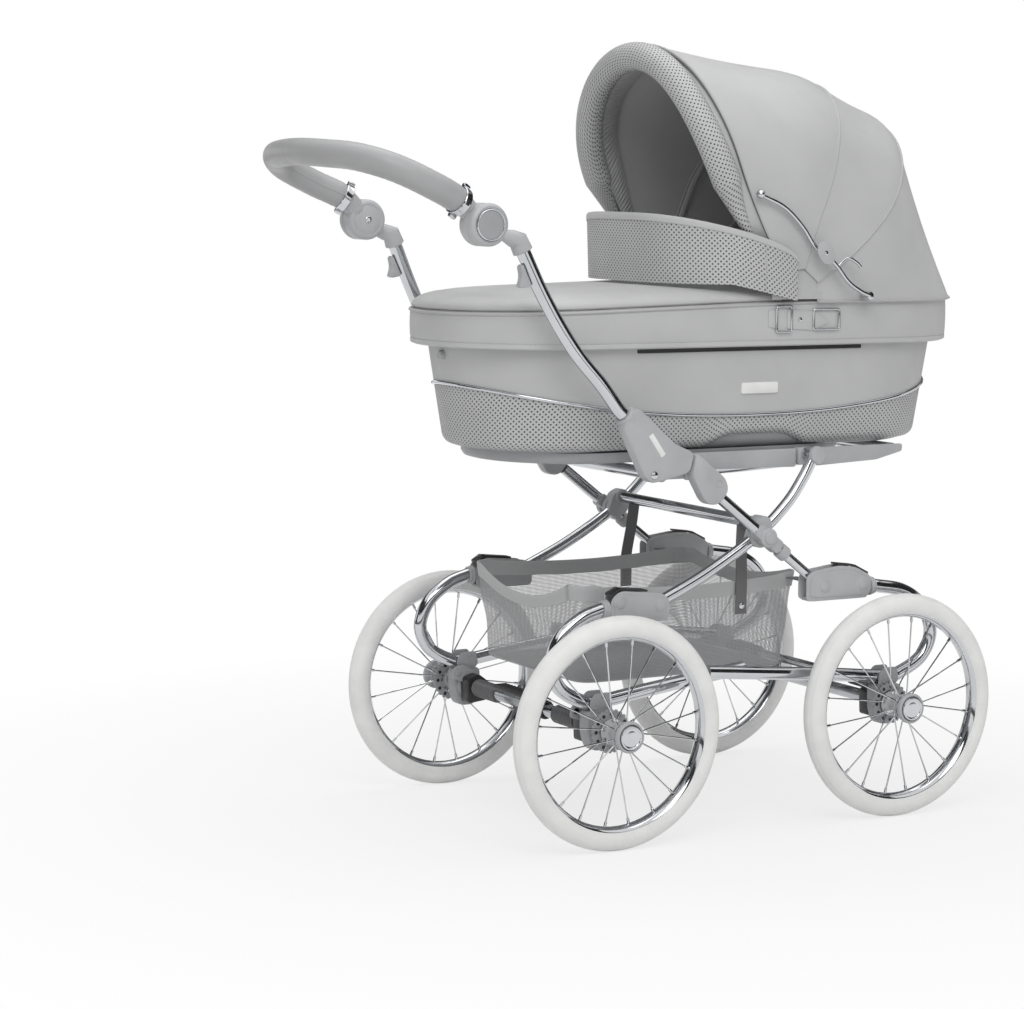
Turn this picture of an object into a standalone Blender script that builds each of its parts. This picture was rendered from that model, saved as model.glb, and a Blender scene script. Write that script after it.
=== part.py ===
"""A pram: folding tube chassis on C springs, carrycot, hood, apron and hanging basket.

Metres, +Z up, +X forward to the hood. While the pieces are made, X is measured from the rear axle
and Z from the line of both axles. At the end the whole model moves so that it stands on the
ground with its origin below the middle of its box.
Run with blender --background --python part.py, or from Blender's text editor.
"""

import math

import bmesh
import bpy
from mathutils import Vector

# Clearances
GAP = 0.0003
SLIDE_GAP = 0.0005
FOLD_GAP = 0.0008

# Wheels and axles
WHEEL_RADIUS = 0.175
WHEELBASE = 0.512
WHEEL_PLANE = 0.265
TYRE_RADIUS = 0.0175
TYRE_SEAT_DEPTH = 0.012
TREAD_FLAT = 0.006
WHEEL_SEGMENTS = 36
RIM_DEPTH = 0.0065
SPOKE_COUNT = 20
SPOKE_RADIUS = 0.0016
FLANGE_OFFSET = 0.013
HUB_RADIUS = 0.0145
HUB_INNER_REACH = 0.022
HUB_OUTER_REACH = 0.037
HUB_RING_RADIUS = 0.0235
CAP_RADIUS = 0.0185
CAP_THICKNESS = 0.0065
CAP_PROUD = 0.003
CAP_TRAVEL = 0.0035
AXLE_RADIUS = 0.010
STUB_RADIUS = 0.006
STUB_REACH = 0.018

# Planes of the side frames, measured from the middle of the pram
REAR_PLANE = 0.205
FRONT_PLANE = 0.228
HANDLE_TOP_PLANE = 0.200
SEAT_RAIL_PLANE = 0.170

# Tubes
SPRING_RADIUS = 0.0105
FRAME_RADIUS = 0.009
INNER_RADIUS = 0.0075
BRIDGE_RADIUS = 0.0068
HANDLE_RADIUS = 0.0105
GRIP_RADIUS = 0.020
TUBE_SIDES = 8

# Pivots of the side frames, as (X, Z)
FOLD_PIVOT = (0.100, 0.177)
SCISSOR_PIVOT = (0.281, 0.271)
FRONT_PIVOT = (0.385, 0.191)
SEAT_PIVOT = (0.385, 0.391)
HANDLE_PIVOT = (0.069, 0.376)
KNUCKLE_PIVOT = (-0.193, 0.742)

# Rear scissor: sag of its lower half, the shares of X and Z where its upper half bends, and how far
# its cross tube stands forward of the scissor's pivot
SCISSOR_SAG = 0.006
SCISSOR_TOP = ((0.52, 0.383), (0.817, 0.717))
CROSS_TUBE_SHIFT = 0.007

# Springs: the height of each seat over the axles, the entry's drop below the pivot in the block,
# how far the C stands out from its seat, and the X where its lower bar ends
REAR_SPRING_SEAT = 0.037
FRONT_SPRING_SEAT = 0.040
REAR_SPRING_DROP = 0.002
FRONT_SPRING_DROP = 0.006
REAR_SPRING_DEPTH = 0.080
FRONT_SPRING_DEPTH = 0.089
REAR_BAR_END = 0.260
FRONT_BAR_END = 0.180
SPRING_BAR_RISE = 0.032
# The C's outline, as shares of its depth and of its height over the seat
SPRING_SHAPE = ((0.36, 0.92), (0.80, 0.73), (1.0, 0.45), (0.82, 0.19), (0.38, 0.035), (0.0, 0.0))

# Seat frame, whose saddles carry the cot
SEAT_REAR = (0.110, 0.370)
SEAT_MIDDLE = (0.300, 0.376)
SEAT_FRONT = 0.560
SEAT_BAR_REACH = 0.200
SADDLE_HALF = 0.015
SADDLE_REACH = 0.0065

# Spring blocks
REAR_BLOCK_LENGTH = 0.103
REAR_BLOCK_HEIGHT = 0.049
REAR_BLOCK_NOSE = 0.018
FRONT_BLOCK_LENGTH = 0.123
FRONT_BLOCK_HEIGHT = 0.053
FRONT_BLOCK_TAIL = 0.033
BLOCK_FLOOR = 0.006
BLOCK_CHEEK = 0.0025
PIN_RADIUS = 0.009
PIN_HEIGHT = 0.0025

# Brake, carriers and basket
CARRIER_THICKNESS = 0.026
CARRIER_WIDTH = 0.046
CARRIER_FOOT = 0.028
CARRIER_DROP = 0.034
PEDAL_WIDTH = 0.110
PEDAL_END = 0.010
PEDAL_BACK = 0.058
PEDAL_RISE = 0.034
PEDAL_DEPTH = 0.026
PEDAL_THICKNESS = 0.008
BASKET_REAR = -0.012
BASKET_FRONT = 0.395
BASKET_HALF_WIDTH = 0.165
BASKET_TOP = 0.205
BASKET_BOTTOM = 0.053
BASKET_CORNER = 0.030
BASKET_TAPER = 0.015
BASKET_WALL = 0.003

# Latches, as housings on each side of the handle's hinge
LATCH_WALL = 0.022
LATCH_INNER_FACE = 0.2225
LINK_THICKNESS = 0.0035
LINK_HALF_WIDTH = 0.010
LATCH_FOOT = 0.2385
LATCH_LIP = 0.004

# Sliding tubes of the front scissor, measured from its lower pivot
SLEEVE_FOOT = 0.083
SLEEVE_BORE = 0.125
INNER_LENGTH = 0.148

# Handle
HANDLE_TOP = (-0.132, 0.703)
# Points of the handle tube, as shares of its way from the latch to its top along X, Y and Z
HANDLE_BEND = ((0.252, 0.054, 0.194), (0.522, 0.32, 0.409), (0.792, 0.75, 0.714))
SOCKET_RADIUS = 0.0150
SOCKET_LENGTH = 0.018
DISC_RADIUS = 0.0310
DISC_SPLIT = 0.1985
DISC_THICKNESS = 0.0145
BUTTON_RADIUS = 0.0230
BUTTON_THICKNESS = 0.0085
BUTTON_PROUD = 0.003
BUTTON_TRAVEL = 0.004
GRIP_HALF_WIDTH = 0.192
GRIP_DEPTH = 0.199
GRIP_RISE = 0.101
# Points of half the grip, as shares of its depth, rise and half width, from the knuckle
GRIP_SHAPE = ((0.181, 0.327, 0.955), (0.427, 0.555, 1.0), (0.688, 0.782, 0.945), (0.869, 0.931, 0.703),
              (0.970, 0.980, 0.365))
ARM_RADIUS = 0.0140
ARM_LENGTH = 0.060
TRIGGER_THICKNESS = 0.012
TRIGGER_REACH = 0.020
TRIGGER_LENGTH = 0.034
TRIGGER_TRAVEL = 0.012
TRIGGER_DROP = TRIGGER_TRAVEL + 0.0015

# Carrycot: its heights stack up from the bottom, and the rim rises from the foot to the head
COT_FOOT = -0.185
COT_HEAD = 0.741
COT_HALF_WIDTH = 0.190
COT_BOTTOM = 0.4010
SIDE_HEIGHT = 0.158
HEM_DEPTH = 0.053
RIM_RISE = 0.015
HEM_BOTTOM = COT_BOTTOM + SIDE_HEIGHT
RIM_FOOT = HEM_BOTTOM + HEM_DEPTH
RIM_HEAD = RIM_FOOT + RIM_RISE
HEM_STEP = 0.013
COT_TAPER = 0.010
END_TAPER = 0.030
COT_WALL = 0.006
COT_FLOOR = 0.012
MATTRESS_HEIGHT = 0.045
MATTRESS_CROWN = 0.012
APRON_FRONT = 0.332
APRON_CROWN = 0.026

# Hood. Each bow line has a reach, the height of its round top, and the angles at foot and top
HOOD_PIVOT = (0.353, RIM_HEAD + 0.010)
HOOD_HALF_WIDTH = 0.199
CLOTH = 0.0016
PANEL_START = 0.040
BOW_THICKNESS = 0.003
BOW_WIDTH = 0.012
REAR_BOW_PLANE = 0.1905
MID_BOW_PLANE = 0.1860
ROLL_RADIUS = 0.022
ROLL_HALF_WIDTH = 0.184
ROLL_FOOT_PLANE = 0.1765
ROLL_FOOT_RADIUS = 0.003
ROLL_REACH = 0.3994
ROLL_RISE = 0.190
ROLL_ANGLES = (138.0, 116.0)
SEAM_REACH = 0.4092
SEAM_RISE = 0.180
SEAM_ANGLES = (126.7, 112.9)
MID_REACH = 0.3547
MID_RISE = 0.209
MID_ANGLES = (74.8, 66.7)
REAR_REACH = 0.372
REAR_RISE = 0.190
REAR_ANGLES = (24.0, 46.0)
HOOD_BASE_DROP = 0.012
REAR_PANEL_SAG = 0.015

# Flap that stands on the apron in front of the hood
FLAP_HALF_WIDTH = 0.2085
FLAP_FOOT = 0.158
FLAP_BACK = 0.345
FLAP_BASE = RIM_HEAD + 0.025
FLAP_TOP = FLAP_BASE + 0.105
FLAP_END_TOP = FLAP_BASE + 0.040
FLAP_LEAN = 0.005
FLAP_THICKNESS = 0.003

# Landau stays, as (X, Z)
STAY_BALL = (HOOD_PIVOT[0] - 0.082, HOOD_PIVOT[1] + 0.151)
STAY_KNUCKLE = (HOOD_PIVOT[0] + 0.033, HOOD_PIVOT[1] + 0.063)
STAY_FOOT = (HOOD_PIVOT[0] + 0.122, HOOD_PIVOT[1] - 0.003)
STAY_PLANE = 0.2095
STAY_THICKNESS = 0.003
STAY_WIDTH = 0.010
STUD_RADIUS = 0.006

# Steps of the round outlines
ARC_STEPS = 8
SIDE_STEPS = 4

SIDES = (("left", 1), ("right", -1))


def clear_scene():
    for item in list(bpy.data.objects):
        bpy.data.objects.remove(item, do_unlink=True)


def material(name, colour, roughness, metallic=0.0):
    """A Principled material with one colour."""
    made = bpy.data.materials.get(name) or bpy.data.materials.new(name)
    made.use_nodes = True
    shader = made.node_tree.nodes["Principled BSDF"]
    shader.inputs["Base Color"].default_value = (*colour, 1.0)
    shader.inputs["Roughness"].default_value = roughness
    shader.inputs["Metallic"].default_value = metallic
    made.diffuse_color = (*colour, 1.0)
    return made


def chrome(name):
    return material(name, (0.80, 0.81, 0.83), 0.12, 1.0)


def grey_plastic(name):
    return material(name, (0.33, 0.34, 0.36), 0.45)


def grey_leather(name):
    return material(name, (0.53, 0.53, 0.54), 0.55)


def spot(point, y=0.0):
    """An (X, Z) point of the side view at one distance from the middle."""
    return Vector((point[0], y, point[1]))


def smooth_path(points, steps):
    """Catmull-Rom curve through the points, with a number of steps for each stretch."""
    ends = [points[0] * 2 - points[1], *points, points[-1] * 2 - points[-2]]
    path = []
    for index in range(1, len(ends) - 2):
        before, start, end, after = ends[index - 1:index + 3]
        for step in range(steps):
            t = step / steps
            path.append(0.5 * (2 * start + (end - before) * t
                               + (2 * before - 5 * start + 4 * end - after) * t * t
                               + (3 * start - before - 3 * end + after) * t * t * t))
    path.append(points[-1].copy())
    return path


def close_ring(work, rings):
    """Faces between successive rings of vertices, and a cap on each end."""
    count = len(rings[0])
    for low, high in zip(rings, rings[1:]):
        for index in range(count):
            after = (index + 1) % count
            work.faces.new((low[index], low[after], high[after], high[index]))
    work.faces.new(list(reversed(rings[0])))
    work.faces.new(rings[-1])
    bmesh.ops.recalc_face_normals(work, faces=work.faces)
    return work


def loft(rings):
    """A closed body through rings of points, capped at both ends."""
    work = bmesh.new()
    made = [[work.verts.new(point) for point in ring] for ring in rings]
    return close_ring(work, made)


def tangents(path):
    """The direction of the path at each of its points."""
    ways = []
    for index in range(len(path)):
        start = path[max(index - 1, 0)]
        end = path[min(index + 1, len(path) - 1)]
        ways.append((end - start).normalized())
    return ways


def round_section(radius, sides=TUBE_SIDES):
    turn = 2 * math.pi / sides
    return [(radius * math.cos(turn * (i + 0.5)), radius * math.sin(turn * (i + 0.5)))
            for i in range(sides)]


def tube(path, radius, sides=TUBE_SIDES):
    """A round bar along a path. The radius is one number, or one for each point."""
    radii = radius if isinstance(radius, list) else [radius] * len(path)
    ways = tangents(path)
    across = ways[0].cross(Vector((0, 1, 0)))
    if across.length < 0.2:
        across = ways[0].cross(Vector((0, 0, 1)))
    across.normalize()
    rings = []
    for point, way, size in zip(path, ways, radii):
        across = (across - way * across.dot(way)).normalized()
        third = way.cross(across)
        rings.append([point + across * u + third * v for u, v in round_section(size, sides)])
    return loft(rings)


def strip(path, widths_along, width, thickness):
    """A flat bar along a path, with its width along the given directions."""
    rings = []
    for point, way, wide in zip(path, tangents(path), widths_along):
        wide = (wide - way * wide.dot(way)).normalized()
        thin = way.cross(wide)
        corners = ((1, 1), (1, -1), (-1, -1), (-1, 1))
        rings.append([point + wide * (a * width / 2) + thin * (b * thickness / 2)
                      for a, b in corners])
    return loft(rings)


def turned(profile, centre, segments, axis=Vector((0, 1, 0)), phase=0.5):
    """A turned body about an axis from (radius, distance) points.

    A profile that starts and ends on the axis makes a solid, any other one makes a ring.
    """
    first = axis.orthogonal().normalized()
    if abs(axis.y) > 0.9:
        first = Vector((1, 0, 0))
    second = axis.cross(first)
    work = bmesh.new()
    turn = 2 * math.pi / segments
    solid = profile[0][0] == 0 and profile[-1][0] == 0
    rows = []
    for radius, along in profile:
        base = centre + axis * along
        if radius == 0:
            rows.append([work.verts.new(base)])
            continue
        rows.append([work.verts.new(base + (first * math.cos(turn * (i + phase))
                                            + second * math.sin(turn * (i + phase))) * radius)
                     for i in range(segments)])
    pairs = list(zip(rows, rows[1:]))
    if not solid:
        pairs.append((rows[-1], rows[0]))
    for low, high in pairs:
        for i in range(segments):
            j = (i + 1) % segments
            corners = [low[i % len(low)], low[j % len(low)], high[j % len(high)], high[i % len(high)]]
            face = list(dict.fromkeys(corners))
            work.faces.new(face)
    bmesh.ops.recalc_face_normals(work, faces=work.faces)
    return work


def plate(outline, y_start, y_end):
    """A flat plate with an (X, Z) outline, between two distances from the middle."""
    return loft([[spot(point, y_start) for point in outline],
                 [spot(point, y_end) for point in outline]])


def bore_for(radius, gap=GAP, segments=12):
    """Corner radius of a faceted bore whose flats clear a round piece."""
    return (radius + gap) / math.cos(math.pi / segments)


def block(low, high):
    corners = ((low[0], low[1]), (high[0], low[1]), (high[0], high[1]), (low[0], high[1]))
    return loft([[Vector((x, y, low[2])) for x, y in corners],
                 [Vector((x, y, high[2])) for x, y in corners]])


def flattened_disc(point, radius, y_start, y_end, segments=12):
    """A short round boss across the pram at an (X, Z) point."""
    return turned([(0, y_start), (radius, y_start), (radius, y_end), (0, y_end)],
                  spot(point), segments)


def helper(work):
    mesh = bpy.data.meshes.new("helper")
    work.to_mesh(mesh)
    work.free()
    item = bpy.data.objects.new("helper", mesh)
    bpy.context.scene.collection.objects.link(item)
    return item


def combine(base, others, operation):
    """The base joined with each other body, or cut by it, as one closed body."""
    carrier = helper(base)
    tools = [helper(other) for other in others]
    for tool in tools:
        step = carrier.modifiers.new(operation.lower(), "BOOLEAN")
        step.operation = operation
        step.solver = "EXACT"
        step.object = tool
    bpy.context.view_layer.update()
    solid = carrier.evaluated_get(bpy.context.evaluated_depsgraph_get())
    result = bmesh.new()
    result.from_mesh(solid.to_mesh())
    solid.to_mesh_clear()
    for item in (carrier, *tools):
        mesh = item.data
        bpy.data.objects.remove(item, do_unlink=True)
        bpy.data.meshes.remove(mesh)
    bmesh.ops.remove_doubles(result, verts=result.verts, dist=1e-6)
    bmesh.ops.recalc_face_normals(result, faces=result.faces)
    return result


def fuse(base, *others):
    return combine(base, others, "UNION")


def carve(base, *others):
    return combine(base, others, "DIFFERENCE")


def add(name, work, finish, pivot=Vector((0, 0, 0)), parent=None):
    """One named object with its origin on its pivot."""
    bmesh.ops.translate(work, verts=work.verts, vec=-pivot)
    mesh = bpy.data.meshes.new(name)
    work.to_mesh(mesh)
    work.free()
    return add_copy(name, mesh, finish, pivot, parent=parent)


def add_copy(name, mesh, finish, pivot, turn=0.0, parent=None):
    """One named object that may share its mesh with another."""
    mesh.shade_smooth()
    mesh.set_sharp_from_angle(angle=math.radians(35))
    if not mesh.materials:
        mesh.materials.append(finish)
    item = bpy.data.objects.new(name, mesh)
    bpy.context.scene.collection.objects.link(item)
    item.location = pivot
    item.rotation_euler = (0, 0, turn)
    if parent:
        item.parent = parent
        item.location = pivot - parent.location
    return item


def joint_empty(name, pivot):
    """An empty on a joint's axis, which carries the pieces that turn about it."""
    empty = bpy.data.objects.new(name, None)
    empty.empty_display_size = 0.03
    bpy.context.scene.collection.objects.link(empty)
    empty.location = pivot
    return empty


def tyre_mesh():
    """Round tyre with a flat tread, standing on one flat of its outline."""
    middle = WHEEL_RADIUS - TYRE_RADIUS
    seat_angle = math.pi - math.acos(TYRE_SEAT_DEPTH / TYRE_RADIUS)
    half = [(TYRE_RADIUS * math.sin(angle), TYRE_RADIUS * math.cos(angle))
            for angle in (seat_angle, math.pi / 2, math.pi / 4)]
    half.append((TREAD_FLAT, TYRE_RADIUS))
    section = [(-wide, deep) for wide, deep in half] + [(wide, deep) for wide, deep in reversed(half)]
    corner = math.cos(math.pi / WHEEL_SEGMENTS)
    profile = [((middle + deep) / corner, wide) for wide, deep in section]
    return turned(profile, Vector((0, 0, 0)), WHEEL_SEGMENTS)


def hub_body():
    """Hub with a bore for the stub axle and a recess for the quick-release cap."""
    bore = bore_for(STUB_RADIUS)
    recess = bore_for(CAP_RADIUS)
    floor = HUB_OUTER_REACH + CAP_PROUD - CAP_THICKNESS - CAP_TRAVEL - GAP
    profile = [(0, STUB_REACH + GAP), (bore, STUB_REACH + GAP), (bore, -HUB_INNER_REACH),
               (HUB_RADIUS, -HUB_INNER_REACH), (HUB_RADIUS, floor - 2 * BLOCK_CHEEK),
               (HUB_RING_RADIUS, floor - BLOCK_CHEEK), (HUB_RING_RADIUS, HUB_OUTER_REACH),
               (recess, HUB_OUTER_REACH), (recess, floor), (0, floor)]
    return turned(profile, Vector((0, 0, 0)), 12)


def wheel_body():
    """Rim, spokes and hub in one piece, about the wheel's own centre."""
    seat = WHEEL_RADIUS - TYRE_RADIUS - TYRE_SEAT_DEPTH - GAP
    width = TYRE_RADIUS * math.sin(math.acos(TYRE_SEAT_DEPTH / TYRE_RADIUS))
    corner = math.cos(math.pi / WHEEL_SEGMENTS)
    profile = [(seat / corner, -width), (seat / corner, width),
               ((seat - RIM_DEPTH) / corner, width * 0.75),
               ((seat - RIM_DEPTH) / corner, -width * 0.75)]
    rim = turned(profile, Vector((0, 0, 0)), WHEEL_SEGMENTS)
    spokes = bmesh.new()
    for index in range(SPOKE_COUNT):
        angle = 2 * math.pi * (index + 0.5) / SPOKE_COUNT
        way = Vector((math.cos(angle), 0, math.sin(angle)))
        flange = FLANGE_OFFSET * (1 if index % 2 else -1)
        start = way * (HUB_RADIUS * 0.8) + Vector((0, flange, 0))
        end = way * (seat - RIM_DEPTH * 0.5)
        piece = tube([start, end], SPOKE_RADIUS, 4)
        mesh = bpy.data.meshes.new("spoke")
        piece.to_mesh(mesh)
        piece.free()
        spokes.from_mesh(mesh)
        bpy.data.meshes.remove(mesh)
    return fuse(rim, spokes, hub_body())


def cap_body():
    low = HUB_OUTER_REACH + CAP_PROUD - CAP_THICKNESS
    high = HUB_OUTER_REACH + CAP_PROUD
    dome = CAP_THICKNESS * 0.25
    return turned([(0, low), (CAP_RADIUS, low), (CAP_RADIUS, high - dome),
                   (CAP_RADIUS - 2 * dome, high), (0, high)], Vector((0, 0, 0)), 16)


def build_wheels():
    """Four wheels, which share three meshes; those of the right side are turned round."""
    meshes = {}
    for kind, work in (("tyre", tyre_mesh()), ("wheel", wheel_body()), ("cap", cap_body())):
        meshes[kind] = bpy.data.meshes.new(kind)
        work.to_mesh(meshes[kind])
        work.free()
    finishes = {"tyre": material("tyre_rubber", (0.82, 0.82, 0.80), 0.7),
                "wheel": chrome("wheel_chrome"), "cap": chrome("cap_chrome")}
    for end, x in (("rear", 0.0), ("front", WHEELBASE)):
        for side, sign in SIDES:
            centre = Vector((x, sign * WHEEL_PLANE, 0))
            turn = 0.0 if sign > 0 else math.pi
            carrier = joint_empty(f"{end}_{side}_spin", centre)
            for kind in ("tyre", "wheel", "cap"):
                add_copy(f"{end}_{side}_{kind}", meshes[kind], finishes[kind], centre, turn, carrier)


def axle_body(x):
    """Axle tube with a thinner stub in each hub."""
    shoulder = WHEEL_PLANE - HUB_INNER_REACH - FOLD_GAP
    end = WHEEL_PLANE + STUB_REACH
    return turned([(0, -end), (STUB_RADIUS, -end), (STUB_RADIUS, -shoulder),
                   (AXLE_RADIUS, -shoulder), (AXLE_RADIUS, shoulder),
                   (STUB_RADIUS, shoulder), (STUB_RADIUS, end), (0, end)],
                  Vector((x, 0, 0)), 10)


def carrier_outline(x, top):
    """Side view of the bracket that seats a spring on an axle."""
    foot = CARRIER_FOOT / 2
    waist = CARRIER_WIDTH / 2
    return [(x - foot, -CARRIER_DROP), (x + foot, -CARRIER_DROP), (x + waist, -AXLE_RADIUS),
            (x + waist, top), (x - waist, top), (x - waist, -AXLE_RADIUS)]


def across(sign, plane, thickness):
    """The two Y values of a plate centred on one plane, on one side."""
    return sign * (plane - thickness / 2), sign * (plane + thickness / 2)


def c_spring(block_x, entry, seat_x, seat_z, depth, bar_end, y):
    """C spring from its block round and down to its seat on the axle, and back as a bar.

    The depth is how far the C stands out from its seat, negative to the rear.
    """
    height = entry - seat_z
    block_end = spot((block_x, entry), y)
    points = [spot((block_x + math.copysign(SPRING_RADIUS, depth), entry), y)]
    for out, up in SPRING_SHAPE:
        points.append(spot((seat_x + depth * out, seat_z + height * up), y))
    for share, rise in ((0.36, 0.38), (1.0, 1.0)):
        points.append(spot((seat_x + (bar_end - seat_x) * share, seat_z + SPRING_BAR_RISE * rise), y))
    return [block_end, *smooth_path(points, 3)]


def rear_spring_path(y):
    block_x = FOLD_PIVOT[0] + REAR_BLOCK_NOSE - REAR_BLOCK_LENGTH - GAP
    return c_spring(block_x, FOLD_PIVOT[1] - REAR_SPRING_DROP, 0.0, REAR_SPRING_SEAT,
                    -REAR_SPRING_DEPTH, REAR_BAR_END, y)


def front_spring_path(y):
    block_x = FRONT_PIVOT[0] - FRONT_BLOCK_TAIL + FRONT_BLOCK_LENGTH + GAP
    return c_spring(block_x, FRONT_PIVOT[1] - FRONT_SPRING_DROP, WHEELBASE, FRONT_SPRING_SEAT,
                    FRONT_SPRING_DEPTH, FRONT_BAR_END, y)


def build_running_gear():
    """Axles, the brackets on them, the four C springs and the brake pedal."""
    add("rear_axle", axle_body(0.0), chrome("axle_chrome"))
    front_top = FRONT_SPRING_SEAT - SPRING_RADIUS - GAP
    rear_top = REAR_SPRING_SEAT - SPRING_RADIUS - GAP
    arms = [plate(carrier_outline(WHEELBASE, front_top), *across(sign, FRONT_PLANE, CARRIER_THICKNESS))
            for _, sign in SIDES]
    bridge_z = front_top - BRIDGE_RADIUS - GAP
    bridge_x = WHEELBASE + CARRIER_WIDTH / 4
    bridge = tube([Vector((bridge_x, y, bridge_z)) for y in (-FRONT_PLANE, FRONT_PLANE)], BRIDGE_RADIUS)
    add("front_axle", fuse(axle_body(WHEELBASE), *arms, bridge), chrome("axle_chrome"),
        Vector((WHEELBASE, 0, 0)))
    for side, sign in SIDES:
        bore = flattened_disc((0, 0), bore_for(AXLE_RADIUS), -WHEEL_PLANE, WHEEL_PLANE)
        bracket = plate(carrier_outline(0, rear_top), *across(sign, REAR_PLANE, CARRIER_THICKNESS))
        add(f"rear_carrier_{side}", carve(bracket, bore), grey_plastic("carrier_grey"),
            Vector((0, sign * REAR_PLANE, 0)))
        add(f"rear_spring_{side}", tube(rear_spring_path(sign * REAR_PLANE), SPRING_RADIUS),
            chrome("spring_chrome"), spot((0, REAR_SPRING_SEAT), sign * REAR_PLANE))
        add(f"front_spring_{side}", tube(front_spring_path(sign * FRONT_PLANE), SPRING_RADIUS),
            chrome("spring_chrome"), spot((WHEELBASE, FRONT_SPRING_SEAT), sign * FRONT_PLANE))
    build_brake_pedal()


def build_brake_pedal():
    """Foot bar on an arm that turns on the rear axle."""
    y_start = PEDAL_END - PEDAL_WIDTH
    middle = (y_start + PEDAL_END) / 2
    half = PEDAL_DEPTH / 2
    bore = bore_for(AXLE_RADIUS, SLIDE_GAP)
    rim = bore + BLOCK_CHEEK * 1.6
    ring = turned([(bore, middle - half), (bore, middle + half), (rim, middle + half), (rim, middle - half)],
                  Vector((0, 0, 0)), 12)
    low = PEDAL_RISE - PEDAL_THICKNESS
    bar = block((-PEDAL_BACK, y_start, low), (PEDAL_DEPTH - PEDAL_BACK, PEDAL_END, PEDAL_RISE))
    grip = bore + BLOCK_CHEEK
    arm = plate([(-PEDAL_BACK + 0.010, low + 0.002), (-grip, -0.002), (-grip * 0.8, grip * 0.8),
                 (-PEDAL_BACK + 0.024, PEDAL_RISE - 0.001)],
                middle - PEDAL_DEPTH / 3, middle + PEDAL_DEPTH / 3)
    add("brake_pedal", fuse(ring, bar, arm), material("pedal_black", (0.05, 0.05, 0.055), 0.5),
        Vector((0, middle, 0)))


def block_pins(points, face, sign):
    """Round pin heads on a block's outer cheek."""
    reach = sorted((sign * (face - 0.001), sign * (face + PIN_HEIGHT)))
    return [flattened_disc(point, PIN_RADIUS, *reach) for point in points]


def build_blocks():
    """Blocks that join the C springs to the folding side frames."""
    for side, sign in SIDES:
        x_high = FOLD_PIVOT[0] + REAR_BLOCK_NOSE
        x_low = x_high - REAR_BLOCK_LENGTH
        z_low = FOLD_PIVOT[1] - FRAME_RADIUS - 2 * FOLD_GAP - BLOCK_FLOOR
        z_high = z_low + REAR_BLOCK_HEIGHT
        slot = FRAME_RADIUS + FOLD_GAP
        outer = slot + BLOCK_CHEEK
        y_a, y_b = sorted((sign * (REAR_PLANE - outer), sign * (REAR_PLANE + outer)))
        s_a, s_b = sorted((sign * (REAR_PLANE - slot), sign * (REAR_PLANE + slot)))
        tail = [(x_low, z_low + 0.006), (x_low + 0.010, z_low), (x_high, z_low), (x_high, z_high - 0.014),
                (x_high - 0.012, z_high - 0.008), (x_low + 0.016, z_high), (x_low, z_high - 0.012)]
        body = carve(plate(tail, y_a, y_b),
                     block((FOLD_PIVOT[0] - FRAME_RADIUS - 0.008, s_a, z_low + BLOCK_FLOOR),
                           (x_high + 0.01, s_b, z_high + 0.01)))
        face = REAR_PLANE + outer
        pins = block_pins(((x_low + 0.015, FOLD_PIVOT[1] + 0.009), FOLD_PIVOT), face, sign)
        add(f"rear_block_{side}", fuse(body, *pins), grey_plastic("block_grey"),
            spot(FOLD_PIVOT, sign * REAR_PLANE))

        x_low = FRONT_PIVOT[0] - FRONT_BLOCK_TAIL
        x_high = x_low + FRONT_BLOCK_LENGTH
        z_low = FRONT_PIVOT[1] - INNER_RADIUS - BLOCK_FLOOR - 0.009
        z_high = z_low + FRONT_BLOCK_HEIGHT
        slot = INNER_RADIUS + GAP
        outer = slot + 1.5 * BLOCK_CHEEK
        y_a, y_b = sorted((sign * (FRONT_PLANE - outer), sign * (FRONT_PLANE + outer)))
        s_a, s_b = sorted((sign * (FRONT_PLANE - slot), sign * (FRONT_PLANE + slot)))
        nose = [(x_low, z_low + 0.004), (x_low + 0.010, z_low), (x_high - 0.010, z_low),
                (x_high, z_low + 0.010), (x_high, z_high - 0.020), (x_high - 0.030, z_high - 0.004),
                (x_low + 0.060, z_high), (x_low + 0.012, z_high - 0.006), (x_low, z_high - 0.014)]
        body = carve(plate(nose, y_a, y_b),
                     block((x_low - 0.01, s_a, z_low + BLOCK_FLOOR),
                           (FRONT_PIVOT[0] + INNER_RADIUS + 0.014, s_b, z_high + 0.01)))
        face = FRONT_PLANE + outer
        pins = block_pins((FRONT_PIVOT, (x_high - 0.018, FRONT_PIVOT[1])), face, sign)
        add(f"front_block_{side}", fuse(body, *pins), grey_plastic("block_grey"),
            spot(FRONT_PIVOT, sign * FRONT_PLANE))


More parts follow.
